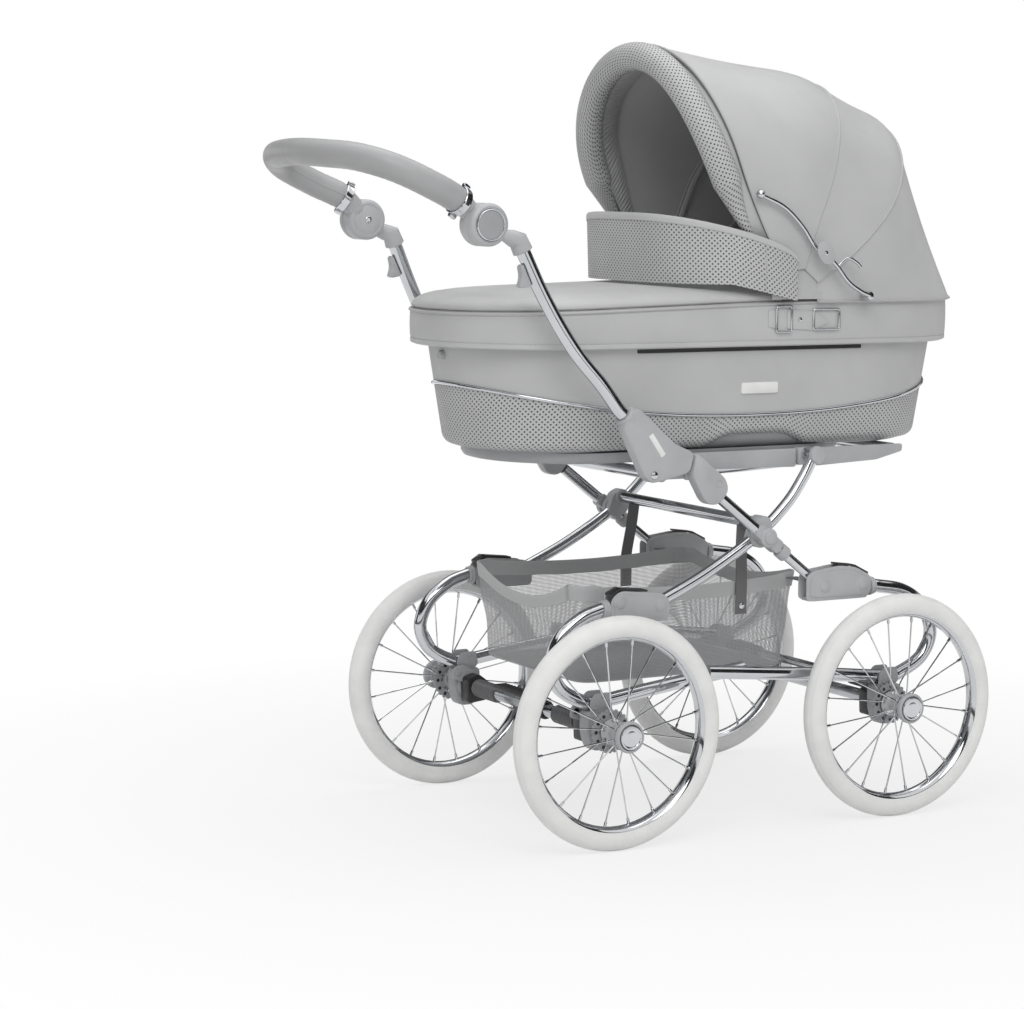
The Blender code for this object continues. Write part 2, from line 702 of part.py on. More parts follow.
def build_rear_scissor():
    """Side tubes from the rear blocks up to the seat frame, joined by a cross tube."""
    pivot = spot(FOLD_PIVOT)
    bend = spot(SCISSOR_PIVOT)
    top = spot(SEAT_PIVOT)
    rise = top - bend
    points = [pivot, pivot.lerp(bend, 0.5) - Vector((0, 0, SCISSOR_SAG)), bend]
    points += [bend + Vector((rise.x * along, 0, rise.z * up)) for along, up in SCISSOR_TOP]
    points.append(top)
    pieces = []
    seat_face = SEAT_RAIL_PLANE + FRAME_RADIUS + SADDLE_REACH + GAP
    for _, sign in SIDES:
        shift = Vector((0, sign * REAR_PLANE, 0))
        pieces.append(tube(smooth_path([point + shift for point in points], 2), FRAME_RADIUS))
        pieces.append(flattened_disc(SEAT_PIVOT, FRAME_RADIUS * 1.1,
                                     *sorted((sign * seat_face, sign * (REAR_PLANE + FRAME_RADIUS)))))
        boss_end = FRONT_PLANE - FRAME_RADIUS - SLIDE_GAP
        pieces.append(flattened_disc(SCISSOR_PIVOT, FRAME_RADIUS * 1.3,
                                     *sorted((sign * REAR_PLANE, sign * boss_end))))
    lift = Vector((CROSS_TUBE_SHIFT, 0, 2 * FRAME_RADIUS))
    cross_tube = tube([bend + lift + Vector((0, y, 0)) for y in (-REAR_PLANE, REAR_PLANE)], FRAME_RADIUS)
    fold = joint_empty("chassis_fold_axis", pivot)
    add("rear_scissor", fuse(cross_tube, *pieces), chrome("frame_chrome"), pivot, fold)


def front_line():
    """Start, direction and length of the straight front scissor, from its lower pivot up."""
    low = spot(FRONT_PIVOT)
    way = (spot(SCISSOR_PIVOT) - low).normalized()
    return low, way


def build_front_scissor():
    """Telescoping side tubes from the front blocks up to the handle's latches."""
    low, way = front_line()
    for side, sign in SIDES:
        start = low + Vector((0, sign * FRONT_PLANE, 0))
        bore = bore_for(INNER_RADIUS, GAP, 10)
        profile = [(0, LATCH_FOOT), (FRAME_RADIUS, LATCH_FOOT), (FRAME_RADIUS, SLEEVE_FOOT),
                   (bore, SLEEVE_FOOT), (bore, SLEEVE_FOOT + SLEEVE_BORE), (0, SLEEVE_FOOT + SLEEVE_BORE)]
        add(f"front_scissor_{side}", turned(profile, start, 10, way), chrome("frame_chrome"),
            spot(SCISSOR_PIVOT, sign * FRONT_PLANE))
        inner = turned([(0, -INNER_RADIUS * 0.6), (INNER_RADIUS, 0), (INNER_RADIUS, INNER_LENGTH),
                        (0, INNER_LENGTH)], start, 10, way)
        add(f"front_inner_{side}", inner, chrome("frame_chrome"), start)


def from_rivet(outline):
    """An outline given from the rivet that the handle folds about."""
    return [(HANDLE_PIVOT[0] + x, HANDLE_PIVOT[1] + z) for x, z in outline]


def upper_latch():
    """Side view of the upper housing; its first edge is where the handle tube leaves it."""
    return from_rivet([(-0.029, 0.102), (-0.055, 0.073), (-0.015, -0.003), (-0.003, -0.012),
                       (0.015, -0.010), (0.065, 0.001), (0.072, 0.031), (0.041, 0.043)])


def lower_latch():
    """Side view of the lower housing, whose lower face is square to the front scissor."""
    low, way = front_line()
    face = low + way * (LATCH_FOOT + GAP)
    wide = Vector((way.z, 0, -way.x)) * (FRAME_RADIUS + LATCH_LIP)
    upper, lower = face + wide, face - wide
    return [*from_rivet([(0.0745, 0.029), (0.083, 0.0255), (0.129, -0.010)]), (upper.x, upper.z),
            (lower.x, lower.z), *from_rivet([(0.094, -0.048), (0.0675, -0.003)])]


def build_latches():
    """Two housings on each side, joined by the rivet that the handle folds about."""
    outer = LATCH_INNER_FACE + LATCH_WALL
    link_outer = LATCH_INNER_FACE - SLIDE_GAP
    link_inner = link_outer - LINK_THICKNESS
    half = LINK_HALF_WIDTH
    for side, sign in SIDES:
        link = plate(from_rivet([(0.086, half), (0.0, half), (-half, 0.0), (0.0, -half), (0.086, -half)]),
                     *sorted((sign * link_outer, sign * link_inner)))
        housing = plate(lower_latch(), *sorted((sign * link_inner, sign * outer)))
        add(f"latch_lower_{side}", fuse(housing, link), grey_plastic("latch_grey"),
            spot(HANDLE_PIVOT, sign * FRONT_PLANE))
        add(f"latch_upper_{side}", plate(upper_latch(), *sorted((sign * LATCH_INNER_FACE, sign * outer))),
            grey_plastic("latch_grey"), spot(HANDLE_PIVOT, sign * FRONT_PLANE))


def handle_path(sign):
    """Middle line of a handle tube, from its latch up to its socket."""
    start, after = (spot(point) for point in upper_latch()[:2])
    away = (after - start).cross(Vector((0, 1, 0))).normalized()
    if away.z < 0:
        away = -away
    foot = (start + after) / 2 + away * GAP
    foot.y = FRONT_PLANE
    top = spot(HANDLE_TOP, HANDLE_TOP_PLANE)
    rise = top - foot
    points = [foot + away * SOCKET_RADIUS]
    for x_share, y_share, z_share in HANDLE_BEND:
        points.append(foot + Vector((rise.x * x_share, rise.y * y_share, rise.z * z_share)))
    points.append(top)
    return [Vector((p.x, sign * p.y, p.z)) for p in [foot, *smooth_path(points, 2)]]


def build_socket(side, sign, top, way):
    """Socket on the handle tube's top with its knuckle disc, and the push button in the disc."""
    collar = top + way * GAP
    disc_outer = DISC_SPLIT + DISC_THICKNESS
    disc = spot(KNUCKLE_PIVOT, sign * (DISC_SPLIT + disc_outer) / 2)
    flat_way = Vector((collar.x - disc.x, 0, collar.z - disc.z)).normalized()
    neck = disc + flat_way * (DISC_RADIUS + 2 * BLOCK_CHEEK)
    thin = DISC_THICKNESS / 2 - GAP
    sleeve = tube([collar, collar + way * SOCKET_LENGTH, neck, disc],
                  [SOCKET_RADIUS, SOCKET_RADIUS, thin, thin])
    wheel = flattened_disc(KNUCKLE_PIVOT, DISC_RADIUS, *sorted((sign * DISC_SPLIT, sign * disc_outer)), 18)
    button_out = disc_outer + BUTTON_PROUD
    button_in = button_out - BUTTON_THICKNESS
    floor = button_in - BUTTON_TRAVEL - SLIDE_GAP
    recess = flattened_disc(KNUCKLE_PIVOT, bore_for(BUTTON_RADIUS, GAP, 18),
                            *sorted((sign * floor, sign * (button_out + DISC_THICKNESS))), 18)
    add(f"handle_socket_{side}", carve(fuse(wheel, sleeve), recess), grey_plastic("socket_grey"),
        spot(KNUCKLE_PIVOT, sign * DISC_SPLIT))
    button = flattened_disc(KNUCKLE_PIVOT, BUTTON_RADIUS, *sorted((sign * button_in, sign * button_out)), 18)
    add(f"knuckle_button_{side}", button, chrome("cap_chrome"), spot(KNUCKLE_PIVOT, sign * button_in))


def build_handle():
    """Handle tubes, sockets with their knuckles and buttons, triggers, and the grip."""
    for side, sign in SIDES:
        points = handle_path(sign)
        add(f"handle_tube_{side}", tube(points, HANDLE_RADIUS), chrome("frame_chrome"),
            spot(HANDLE_PIVOT, sign * FRONT_PLANE))
        way = (points[-1] - points[-2]).normalized()
        build_socket(side, sign, points[-1], way)
        build_trigger(side, sign, points[-1], way)
    build_grip()


def build_trigger(side, sign, top, way):
    """Fin-shaped lever behind the handle tube, which slides up to free the latch."""
    away = Vector((way.z, 0, -way.x)).normalized()
    if away.z > 0:
        away = -away
    clear = HANDLE_RADIUS + SLIDE_GAP
    flat_way = Vector((way.x, 0, way.z)).normalized()

    def corner(along, out):
        point = top - flat_way * (TRIGGER_DROP + TRIGGER_LENGTH * along)
        point += away * (clear + TRIGGER_REACH * out)
        return point.x, point.z

    fin = ((0.0, 0.0), (1.0, 0.0), (1.0, 0.22), (0.92, 0.75), (0.80, 1.0), (0.62, 0.72), (0.35, 0.42),
           (0.0, 0.28))
    middle = abs(top.y) + abs(way.y) * (TRIGGER_DROP + TRIGGER_LENGTH / 2)
    add(f"trigger_{side}", plate([corner(*point) for point in fin], *across(sign, middle, TRIGGER_THICKNESS)),
        grey_plastic("trigger_grey"), Vector((top.x, sign * middle, top.z)))


def build_grip():
    """Padded U grip with its clamps and knuckle discs."""
    inner_face = DISC_SPLIT - SLIDE_GAP
    pivot = spot(KNUCKLE_PIVOT)
    half = [spot(KNUCKLE_PIVOT, inner_face - ARM_RADIUS)]
    for back, up, wide in GRIP_SHAPE:
        half.append(pivot + Vector((-GRIP_DEPTH * back, GRIP_HALF_WIDTH * wide, GRIP_RISE * up)))
    middle = pivot + Vector((-GRIP_DEPTH, 0, GRIP_RISE))
    points = half + [middle] + [Vector((p.x, -p.y, p.z)) for p in reversed(half)]
    path = smooth_path(points, 2)
    radii = []
    for point in path:
        away = (Vector((point.x, 0, point.z)) - pivot).length
        radii.append(ARM_RADIUS if away < ARM_LENGTH else GRIP_RADIUS)
    bar = tube(path, radii, 10)
    discs = [flattened_disc(KNUCKLE_PIVOT, DISC_RADIUS,
                            *sorted((sign * inner_face, sign * (inner_face - DISC_THICKNESS))), 18)
             for _, sign in SIDES]
    swing = joint_empty("grip_axis", pivot)
    add("handle_grip", fuse(bar, *discs), material("grip_grey", (0.53, 0.53, 0.54), 0.45), pivot, swing)


def build_seat_frame():
    """Two rails under the cot, joined by cross tubes, hung from the rear scissor's ends."""
    front = (SEAT_FRONT, COT_BOTTOM - FRAME_RADIUS - 4 * GAP)
    top = COT_BOTTOM - 3 * GAP
    pieces = []
    for _, sign in SIDES:
        y = sign * SEAT_RAIL_PLANE
        pieces.append(tube([spot(point, y) for point in (SEAT_REAR, SEAT_MIDDLE, front)], FRAME_RADIUS))
        face = SEAT_RAIL_PLANE + FRAME_RADIUS + SADDLE_REACH
        low = SEAT_PIVOT[1] - 2 * FRAME_RADIUS
        pieces.append(plate([(SEAT_PIVOT[0] - SADDLE_HALF, low), (SEAT_PIVOT[0] + SADDLE_HALF, low),
                             (SEAT_PIVOT[0] + SADDLE_HALF, top), (SEAT_PIVOT[0] - SADDLE_HALF, top)],
                            *sorted((y, sign * face))))
    rear_bar = tube([spot(SEAT_REAR, y) for y in (-SEAT_BAR_REACH, SEAT_BAR_REACH)], FRAME_RADIUS)
    front_bar = tube([spot(front, y) for y in (-SEAT_RAIL_PLANE, SEAT_RAIL_PLANE)], FRAME_RADIUS)
    add("seat_frame", fuse(rear_bar, *pieces, front_bar), chrome("frame_chrome"), spot(SEAT_PIVOT))


def stadium(foot, head, half_width, height):
    """Plan outline with half-round ends; the height is a number or a function of X."""
    points = []
    rear = foot + half_width
    front = head - half_width
    for step in range(ARC_STEPS + 1):
        angle = math.pi / 2 + math.pi * step / ARC_STEPS
        points.append((rear + half_width * math.cos(angle), half_width * math.sin(angle)))
    for step in range(1, SIDE_STEPS):
        points.append((rear + (front - rear) * step / SIDE_STEPS, -half_width))
    for step in range(ARC_STEPS + 1):
        angle = -math.pi / 2 + math.pi * step / ARC_STEPS
        points.append((front + half_width * math.cos(angle), half_width * math.sin(angle)))
    for step in range(1, SIDE_STEPS):
        points.append((front + (rear - front) * step / SIDE_STEPS, half_width))
    level = height if callable(height) else lambda x: height
    return [Vector((x, y, level(x))) for x, y in points]


def rim_height(x):
    """The rim rises a little from the foot to the hood."""
    share = (x - COT_FOOT) / (HOOD_PIVOT[0] - COT_FOOT)
    return RIM_FOOT + (RIM_HEAD - RIM_FOOT) * min(max(share, 0), 1)


def cot_ring(inset, end_inset, height):
    return stadium(COT_FOOT + inset + end_inset, COT_HEAD - inset - end_inset, COT_HALF_WIDTH - inset, height)


def build_cot():
    """Cot shell with its folded hem, the mattress inside, and the apron over the foot."""
    top_wall = HEM_STEP + 0.001
    floor = COT_BOTTOM + COT_FLOOR
    rings = [
        cot_ring(top_wall + COT_TAPER + 0.012, END_TAPER + 0.012, COT_BOTTOM),
        cot_ring(top_wall + COT_TAPER, END_TAPER, COT_BOTTOM + 0.012),
        cot_ring(top_wall, END_TAPER * 0.5, HEM_BOTTOM - 0.002),
        cot_ring(0.001, 0.0, HEM_BOTTOM),
        cot_ring(0.0, 0.0, HEM_BOTTOM + 0.012),
        cot_ring(0.0, 0.0, lambda x: rim_height(x) - 0.006),
        cot_ring(0.003, 0.0, rim_height),
        cot_ring(0.013, 0.0, rim_height),
        cot_ring(0.017, 0.0, lambda x: rim_height(x) - 0.006),
        cot_ring(top_wall + COT_WALL, END_TAPER * 0.5, HEM_BOTTOM),
        cot_ring(top_wall + COT_TAPER + COT_WALL, END_TAPER, floor + 0.012),
        cot_ring(top_wall + COT_TAPER + COT_WALL + 0.012, END_TAPER + 0.012, floor),
    ]
    seat_spot = spot((SEAT_PIVOT[0], COT_BOTTOM))
    lift = joint_empty("cot_lift_axis", seat_spot)
    add("cot_shell", loft(rings), grey_leather("cot_leatherette"), seat_spot, lift)

    inset = top_wall + COT_TAPER + COT_WALL + 0.013
    ends = END_TAPER + 0.006
    low = floor + SLIDE_GAP
    crown = low + MATTRESS_HEIGHT
    pad = [cot_ring(inset + 0.006, ends, low), cot_ring(inset, ends, low + 0.008)]
    for narrow, drop in ((0.0, 1.0), (0.008, 0.45), (0.040, 0.1), (0.090, 0.0)):
        pad.append(cot_ring(inset + narrow, ends, crown - drop * MATTRESS_CROWN))
    cotton = material("mattress_cotton", (0.80, 0.80, 0.79), 0.8)
    add("mattress", loft(pad), cotton, spot((SEAT_PIVOT[0], low)))
    build_apron()


def apron_ring(inset, lift):
    """Outline of the apron: half round at the foot and straight across in front of the hood."""
    half_width = COT_HALF_WIDTH - 0.002 - inset
    foot = COT_FOOT + 0.002 + inset
    front = APRON_FRONT - inset * 0.35
    points = []
    for step in range(ARC_STEPS + 5):
        angle = math.pi / 2 + math.pi * step / (ARC_STEPS + 4)
        points.append((foot + half_width * (1 + math.cos(angle)), half_width * math.sin(angle)))
    middle = (foot + half_width + front) / 2
    outline = points + [(middle, -half_width), (front, -half_width), (front, 0), (front, half_width),
                        (middle, half_width)]
    return [Vector((x, y, rim_height(x) + lift)) for x, y in outline]


def build_apron():
    base = GAP
    rings = [apron_ring(0.003, base), apron_ring(0.0, base + 0.004)]
    for inset, rise in ((0.004, 0.35), (0.022, 0.7), (0.060, 0.93), (0.110, 1.0)):
        rings.append(apron_ring(inset, base + APRON_CROWN * rise))
    add("apron", loft(rings), grey_leather("apron_leatherette"), Vector((APRON_FRONT, 0, RIM_HEAD)))


def arch(reach, rise, half_width, angles, start, steps=(4, 10)):
    """Bow line over the hood, from its right foot to its left foot.

    The feet run straight up from the pivot, the top is a half ellipse of the given rise. The
    angle about the hood's pivot goes from the first angle at the feet to the second at the top.
    """
    knee = reach - rise
    straight = [start + (knee - start) * step / steps[0] for step in range(steps[0])]
    flat = [(radius, -half_width) for radius in straight]
    for step in range(steps[1] + 1):
        angle = -math.pi / 2 + math.pi * step / steps[1]
        flat.append((knee + rise * math.cos(angle), half_width * math.sin(angle)))
    flat += [(radius, half_width) for radius in reversed(straight)]
    points = []
    ways = []
    for radius, y in flat:
        angle = math.radians(angles[0] + (angles[1] - angles[0]) * radius / reach)
        points.append(Vector((HOOD_PIVOT[0] + radius * math.cos(angle), y,
                              HOOD_PIVOT[1] + radius * math.sin(angle))))
        ways.append(Vector((-math.sin(angle), 0, math.cos(angle))))
    return points, ways


def skin(outer, inner):
    """A closed thin body between two grids of points."""
    work = bmesh.new()
    grids = [[[work.verts.new(point) for point in row] for row in grid] for grid in (outer, inner)]
    rows = len(outer)
    columns = len(outer[0])
    for grid in grids:
        for i in range(rows - 1):
            for j in range(columns - 1):
                work.faces.new((grid[i][j], grid[i][j + 1], grid[i + 1][j + 1], grid[i + 1][j]))
    top, bottom = grids
    for i in range(rows - 1):
        for j in (0, columns - 1):
            work.faces.new((top[i][j], top[i + 1][j], bottom[i + 1][j], bottom[i][j]))
    for j in range(columns - 1):
        for i in (0, rows - 1):
            work.faces.new((top[i][j], bottom[i][j], bottom[i][j + 1], top[i][j + 1]))
    bmesh.ops.recalc_face_normals(work, faces=work.faces)
    return work


def hood_line(reach, rise, angles, depth):
    return arch(reach - depth, rise - depth, HOOD_HALF_WIDTH - depth, angles, PANEL_START)[0]


def base_line(depth):
    """The hood's lower edge, which follows the rim round the head of the cot."""
    reach = COT_HEAD - COT_HALF_WIDTH + HOOD_HALF_WIDTH - HOOD_PIVOT[0]
    line = hood_line(reach, HOOD_HALF_WIDTH, (0.0, 0.0), depth)
    return [point + Vector((0, 0, -HOOD_BASE_DROP)) for point in line]


def panel(front, rear, sag, rows=4):
    """Cloth stretched between two bow lines, as an outer and an inner grid."""
    trim = 0.006
    grids = []
    for first, second in zip(front, rear):
        grid = []
        for row in range(rows + 1):
            share = trim + (1 - 2 * trim) * row / rows
            pull = 1 - sag * math.sin(math.pi * share)
            line = []
            for a, b in zip(first, second):
                point = a.lerp(b, share)
                foot = spot(HOOD_PIVOT, point.y)
                line.append(foot + (point - foot) * pull)
            grid.append(line)
        grids.append(grid)
    return skin(*grids)


def bow(reach, rise, plane, angles):
    """Flat steel bow, which turns about the hood's pivot with its foot on its own plane."""
    inset = BOW_WIDTH / 2
    points, ways = arch(reach - inset, rise - inset, plane, angles, BOW_THICKNESS)
    return strip(points, ways, BOW_WIDTH, BOW_THICKNESS)


def hood_roll():
    """Padded front roll, thin at its feet, with a bracket and a stud for each landau stay."""
    pivot = spot(HOOD_PIVOT)
    swell = ROLL_REACH - ROLL_RISE
    points, _ = arch(ROLL_REACH, ROLL_RISE, ROLL_HALF_WIDTH, ROLL_ANGLES, 0.016, (5, 12))
    path = []
    radii = []
    for point in points:
        distance = (Vector((point.x, 0, point.z)) - pivot).length
        share = min(distance / swell, 1.0)
        if distance < swell:
            foot_y = math.copysign(ROLL_FOOT_PLANE, point.y)
            point.y = foot_y + (point.y - foot_y) * share
        path.append(point)
        radii.append(ROLL_FOOT_RADIUS + (ROLL_RADIUS - ROLL_FOOT_RADIUS) * share ** 3)
    roll = tube(path, radii, 10)
    near = min(points, key=lambda point: (spot((point.x, point.z)) - spot(STAY_BALL)).length)
    half = STUD_RADIUS
    brackets = [plate([(near.x, near.z - half), (STAY_BALL[0] + half, STAY_BALL[1] - half),
                       (STAY_BALL[0] + half, STAY_BALL[1] + half), (near.x, near.z + half)],
                      *across(sign, ROLL_HALF_WIDTH, BOW_THICKNESS)) for _, sign in SIDES]
    studs = [flattened_disc(STAY_BALL, STUD_RADIUS,
                            *sorted((sign * ROLL_HALF_WIDTH, sign * (STAY_PLANE - SLIDE_GAP))), 8)
             for _, sign in SIDES]
    return fuse(roll, *brackets, *studs)


def build_hood():
    """Two bows, the padded front roll, the three panels of cloth between them, and the stays."""
    pivot = spot(HOOD_PIVOT)
    turn = joint_empty("hood_axis", pivot)
    depths = (0.0, CLOTH)
    seam = [hood_line(SEAM_REACH, SEAM_RISE, SEAM_ANGLES, depth) for depth in depths]
    mid = [hood_line(MID_REACH, MID_RISE, MID_ANGLES, depth) for depth in depths]
    rear = [hood_line(REAR_REACH, REAR_RISE, REAR_ANGLES, depth) for depth in depths]
    base = [base_line(depth) for depth in depths]
    cloth = grey_leather("hood_cloth")
    eyelets = [flattened_disc(STAY_BALL, bore_for(STUD_RADIUS, SLIDE_GAP),
                              *sorted((sign * ROLL_HALF_WIDTH, sign * STAY_PLANE)))
               for _, sign in SIDES]
    add("hood_panel_front", carve(panel(seam, mid, 0.0), *eyelets), cloth, pivot, turn)
    add("hood_panel_mid", panel(mid, rear, 0.0), cloth, pivot, turn)
    add("hood_panel_rear", panel(rear, base, REAR_PANEL_SAG, 5), cloth, pivot, turn)
    steel = chrome("bow_steel")
    add("hood_bow_rear", bow(REAR_REACH, REAR_RISE, REAR_BOW_PLANE, REAR_ANGLES), steel, pivot, turn)
    add("hood_bow_mid", bow(MID_REACH, MID_RISE, MID_BOW_PLANE, MID_ANGLES), steel, pivot, turn)
    add("hood_roll", hood_roll(), grey_leather("roll_cloth"), pivot, turn)
    build_stays()


def stay_link(start, end, y_start, y_end):
    """Flat link with blunt ends between two (X, Z) pins."""
    a = Vector(start)
    b = Vector(end)
    way = (b - a).normalized() * STAY_WIDTH / 2
    side = Vector((-way.y, way.x))
    outline = [a - way * 0.6 + side, a - way, a - way * 0.6 - side,
               b + way * 0.6 - side, b + way, b + way * 0.6 + side]
    return plate([tuple(point) for point in outline], y_start, y_end)


def build_stays():
    for side, sign in SIDES:
        outer = STAY_PLANE + STAY_THICKNESS
        upper = stay_link(STAY_BALL, STAY_KNUCKLE, *sorted((sign * STAY_PLANE, sign * outer)))
        add(f"stay_upper_{side}", upper, chrome("stay_chrome"), spot(STAY_KNUCKLE, sign * outer))
        low_face = outer + SLIDE_GAP
        reach = sorted((sign * low_face, sign * (low_face + STAY_THICKNESS)))
        lower = stay_link(STAY_KNUCKLE, STAY_FOOT, *reach)
        foot_face = HOOD_HALF_WIDTH + 2 * SLIDE_GAP
        foot = flattened_disc(STAY_FOOT, STAY_WIDTH * 0.7,
                              *sorted((sign * foot_face, sign * (low_face + STAY_THICKNESS / 2))), 10)
        add(f"stay_lower_{side}", fuse(lower, foot), chrome("stay_chrome"), spot(STAY_FOOT, sign * low_face))


def build_flap():
    """Curved flap that stands on the apron and closes the hood's opening."""
    count = 14
    grids = []
    for depth in (0.0, FLAP_THICKNESS):
        half_width = FLAP_HALF_WIDTH - depth
        reach = FLAP_BACK - FLAP_FOOT - depth
        rows = []
        for row in range(4):
            share = row / 3
            line = []
            for step in range(count + 1):
                angle = -math.pi / 2 + math.pi * step / count
                bulge = math.cos(angle)
                y = half_width * math.copysign(abs(math.sin(angle)) ** 0.6, math.sin(angle))
                low = RIM_HEAD + (FLAP_BASE - RIM_HEAD) * min(bulge * 1.8, 1.0)
                high = FLAP_END_TOP + (FLAP_TOP - FLAP_END_TOP) * max(bulge, 0.0) ** 0.5
                x = FLAP_BACK - (reach + FLAP_LEAN * share) * bulge
                line.append(Vector((x, y, low + (high - low) * share)))
            rows.append(line)
        grids.append(rows)
    add("windshield", skin(*grids), grey_leather("flap_cloth"), Vector((FLAP_BACK, 0, RIM_HEAD)))


def build_basket():
    """Open mesh basket that hangs below the seat frame."""
    def ring(inset, taper, height):
        half = BASKET_HALF_WIDTH - inset - taper
        low = BASKET_REAR + inset + taper * 0.5
        high = BASKET_FRONT - inset - taper * 4
        cut = BASKET_CORNER
        outline = [(low, -half + cut), (low + cut, -half), (high - cut, -half), (high, -half + cut),
                   (high, half - cut), (high - cut, half), (low + cut, half), (low, half - cut)]
        return [Vector((x, y, height)) for x, y in outline]

    wall = BASKET_WALL
    rings = [ring(0, BASKET_TAPER, BASKET_BOTTOM), ring(0, 0, BASKET_TOP), ring(wall, 0, BASKET_TOP),
             ring(wall, BASKET_TAPER, BASKET_BOTTOM + wall)]
    add("basket", loft(rings), material("basket_mesh", (0.62, 0.63, 0.65), 0.7),
        Vector((BASKET_REAR, 0, BASKET_TOP)))


def stand_on_origin():
    """Moves the model so that it stands on the ground, with its origin below the middle of its box."""
    bpy.context.view_layer.update()
    reach = [item.matrix_world @ Vector(corner) for item in bpy.data.objects if item.type == "MESH"
             for corner in item.bound_box]
    middle = (min(point.x for point in reach) + max(point.x for point in reach)) / 2
    ground = min(point.z for point in reach)
    for item in bpy.data.objects:
        if item.parent is None:
            item.location.x -= middle
            item.location.z -= ground
    print("rear axle X", -middle)


def main():
    clear_scene()
    build_wheels()
    build_running_gear()
    build_blocks()
    build_rear_scissor()
    build_front_scissor()
    build_latches()
    build_handle()
    build_seat_frame()
    build_cot()
    build_flap()
    build_hood()
    build_basket()
    stand_on_origin()


main()
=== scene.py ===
"""Looks of the pram: finishes, cloth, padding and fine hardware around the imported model."""

import math

import bmesh
import bpy
from mathutils import Matrix, Vector


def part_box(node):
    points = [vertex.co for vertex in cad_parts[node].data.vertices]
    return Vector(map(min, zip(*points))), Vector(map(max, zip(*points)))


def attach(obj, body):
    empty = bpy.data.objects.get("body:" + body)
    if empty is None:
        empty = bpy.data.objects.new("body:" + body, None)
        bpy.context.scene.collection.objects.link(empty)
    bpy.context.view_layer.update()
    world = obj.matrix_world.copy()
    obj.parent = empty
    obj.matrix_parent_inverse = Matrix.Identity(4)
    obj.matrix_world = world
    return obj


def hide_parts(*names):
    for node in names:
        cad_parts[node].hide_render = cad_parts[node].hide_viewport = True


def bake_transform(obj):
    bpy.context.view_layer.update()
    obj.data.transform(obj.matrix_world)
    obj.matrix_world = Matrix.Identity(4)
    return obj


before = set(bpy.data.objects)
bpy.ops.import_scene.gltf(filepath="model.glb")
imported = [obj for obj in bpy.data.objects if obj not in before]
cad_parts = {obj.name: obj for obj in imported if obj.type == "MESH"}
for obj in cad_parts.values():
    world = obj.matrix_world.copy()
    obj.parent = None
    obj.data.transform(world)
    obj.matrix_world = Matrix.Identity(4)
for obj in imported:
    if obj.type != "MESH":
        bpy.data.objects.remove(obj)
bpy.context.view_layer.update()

# Sizes that the frame's solids have, in metres, with X from the rear axle
WHEEL_RADIUS = 0.175
WHEELBASE = 0.512
WHEEL_PLANE = 0.265
TYRE_RADIUS = 0.0175
REAR_PLANE = 0.205
FRONT_PLANE = 0.228
HANDLE_TOP_PLANE = 0.200
SEAT_RAIL_PLANE = 0.170
SPRING_RADIUS = 0.0105
FRAME_RADIUS = 0.009
INNER_RADIUS = 0.0075
HANDLE_RADIUS = 0.0105
GRIP_RADIUS = 0.020
FOLD_PIVOT = (0.100, 0.352)
SCISSOR_PIVOT = (0.281, 0.446)
FRONT_PIVOT = (0.385, 0.366)
SEAT_PIVOT = (0.385, 0.566)
HANDLE_PIVOT = (0.069, 0.551)
KNUCKLE_PIVOT = (-0.193, 0.917)
COT_FOOT = -0.185
COT_HEAD = 0.741
COT_HALF_WIDTH = 0.190
COT_BOTTOM = 0.576
HEM_BOTTOM = 0.734
RIM_FOOT = 0.787
RIM_HEAD = 0.802
HEM_STEP = 0.013
COT_TAPER = 0.010
END_TAPER = 0.030
APRON_FRONT = 0.332
HOOD_PIVOT = (0.353, 0.812)
HOOD_HALF_WIDTH = 0.199
SIDES = (("left", 1), ("right", -1))

# The photograph's frame, and where its camera stood
PHOTO_WIDTH = 1024
FOCAL_PIXELS = 2865.5
SENSOR_WIDTH = 36.0
CAMERA_SPOT = (-2.196, -3.778, 0.990)
CAMERA_YAW = math.radians(29.81)
CAMERA_PITCH = math.radians(6.59)
CAMERA_ROLL = math.radians(0.62)

rear_low, rear_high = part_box("rear_axle")
AXLE_X = (rear_low[0] + rear_high[0]) / 2


def at(x, y, z):
    """A point given from the rear axle, in the frame's own axes."""
    return Vector((x + AXLE_X, y, z))


def side_point(point, y=0.0):
    return at(point[0], y, point[1])


# Materials

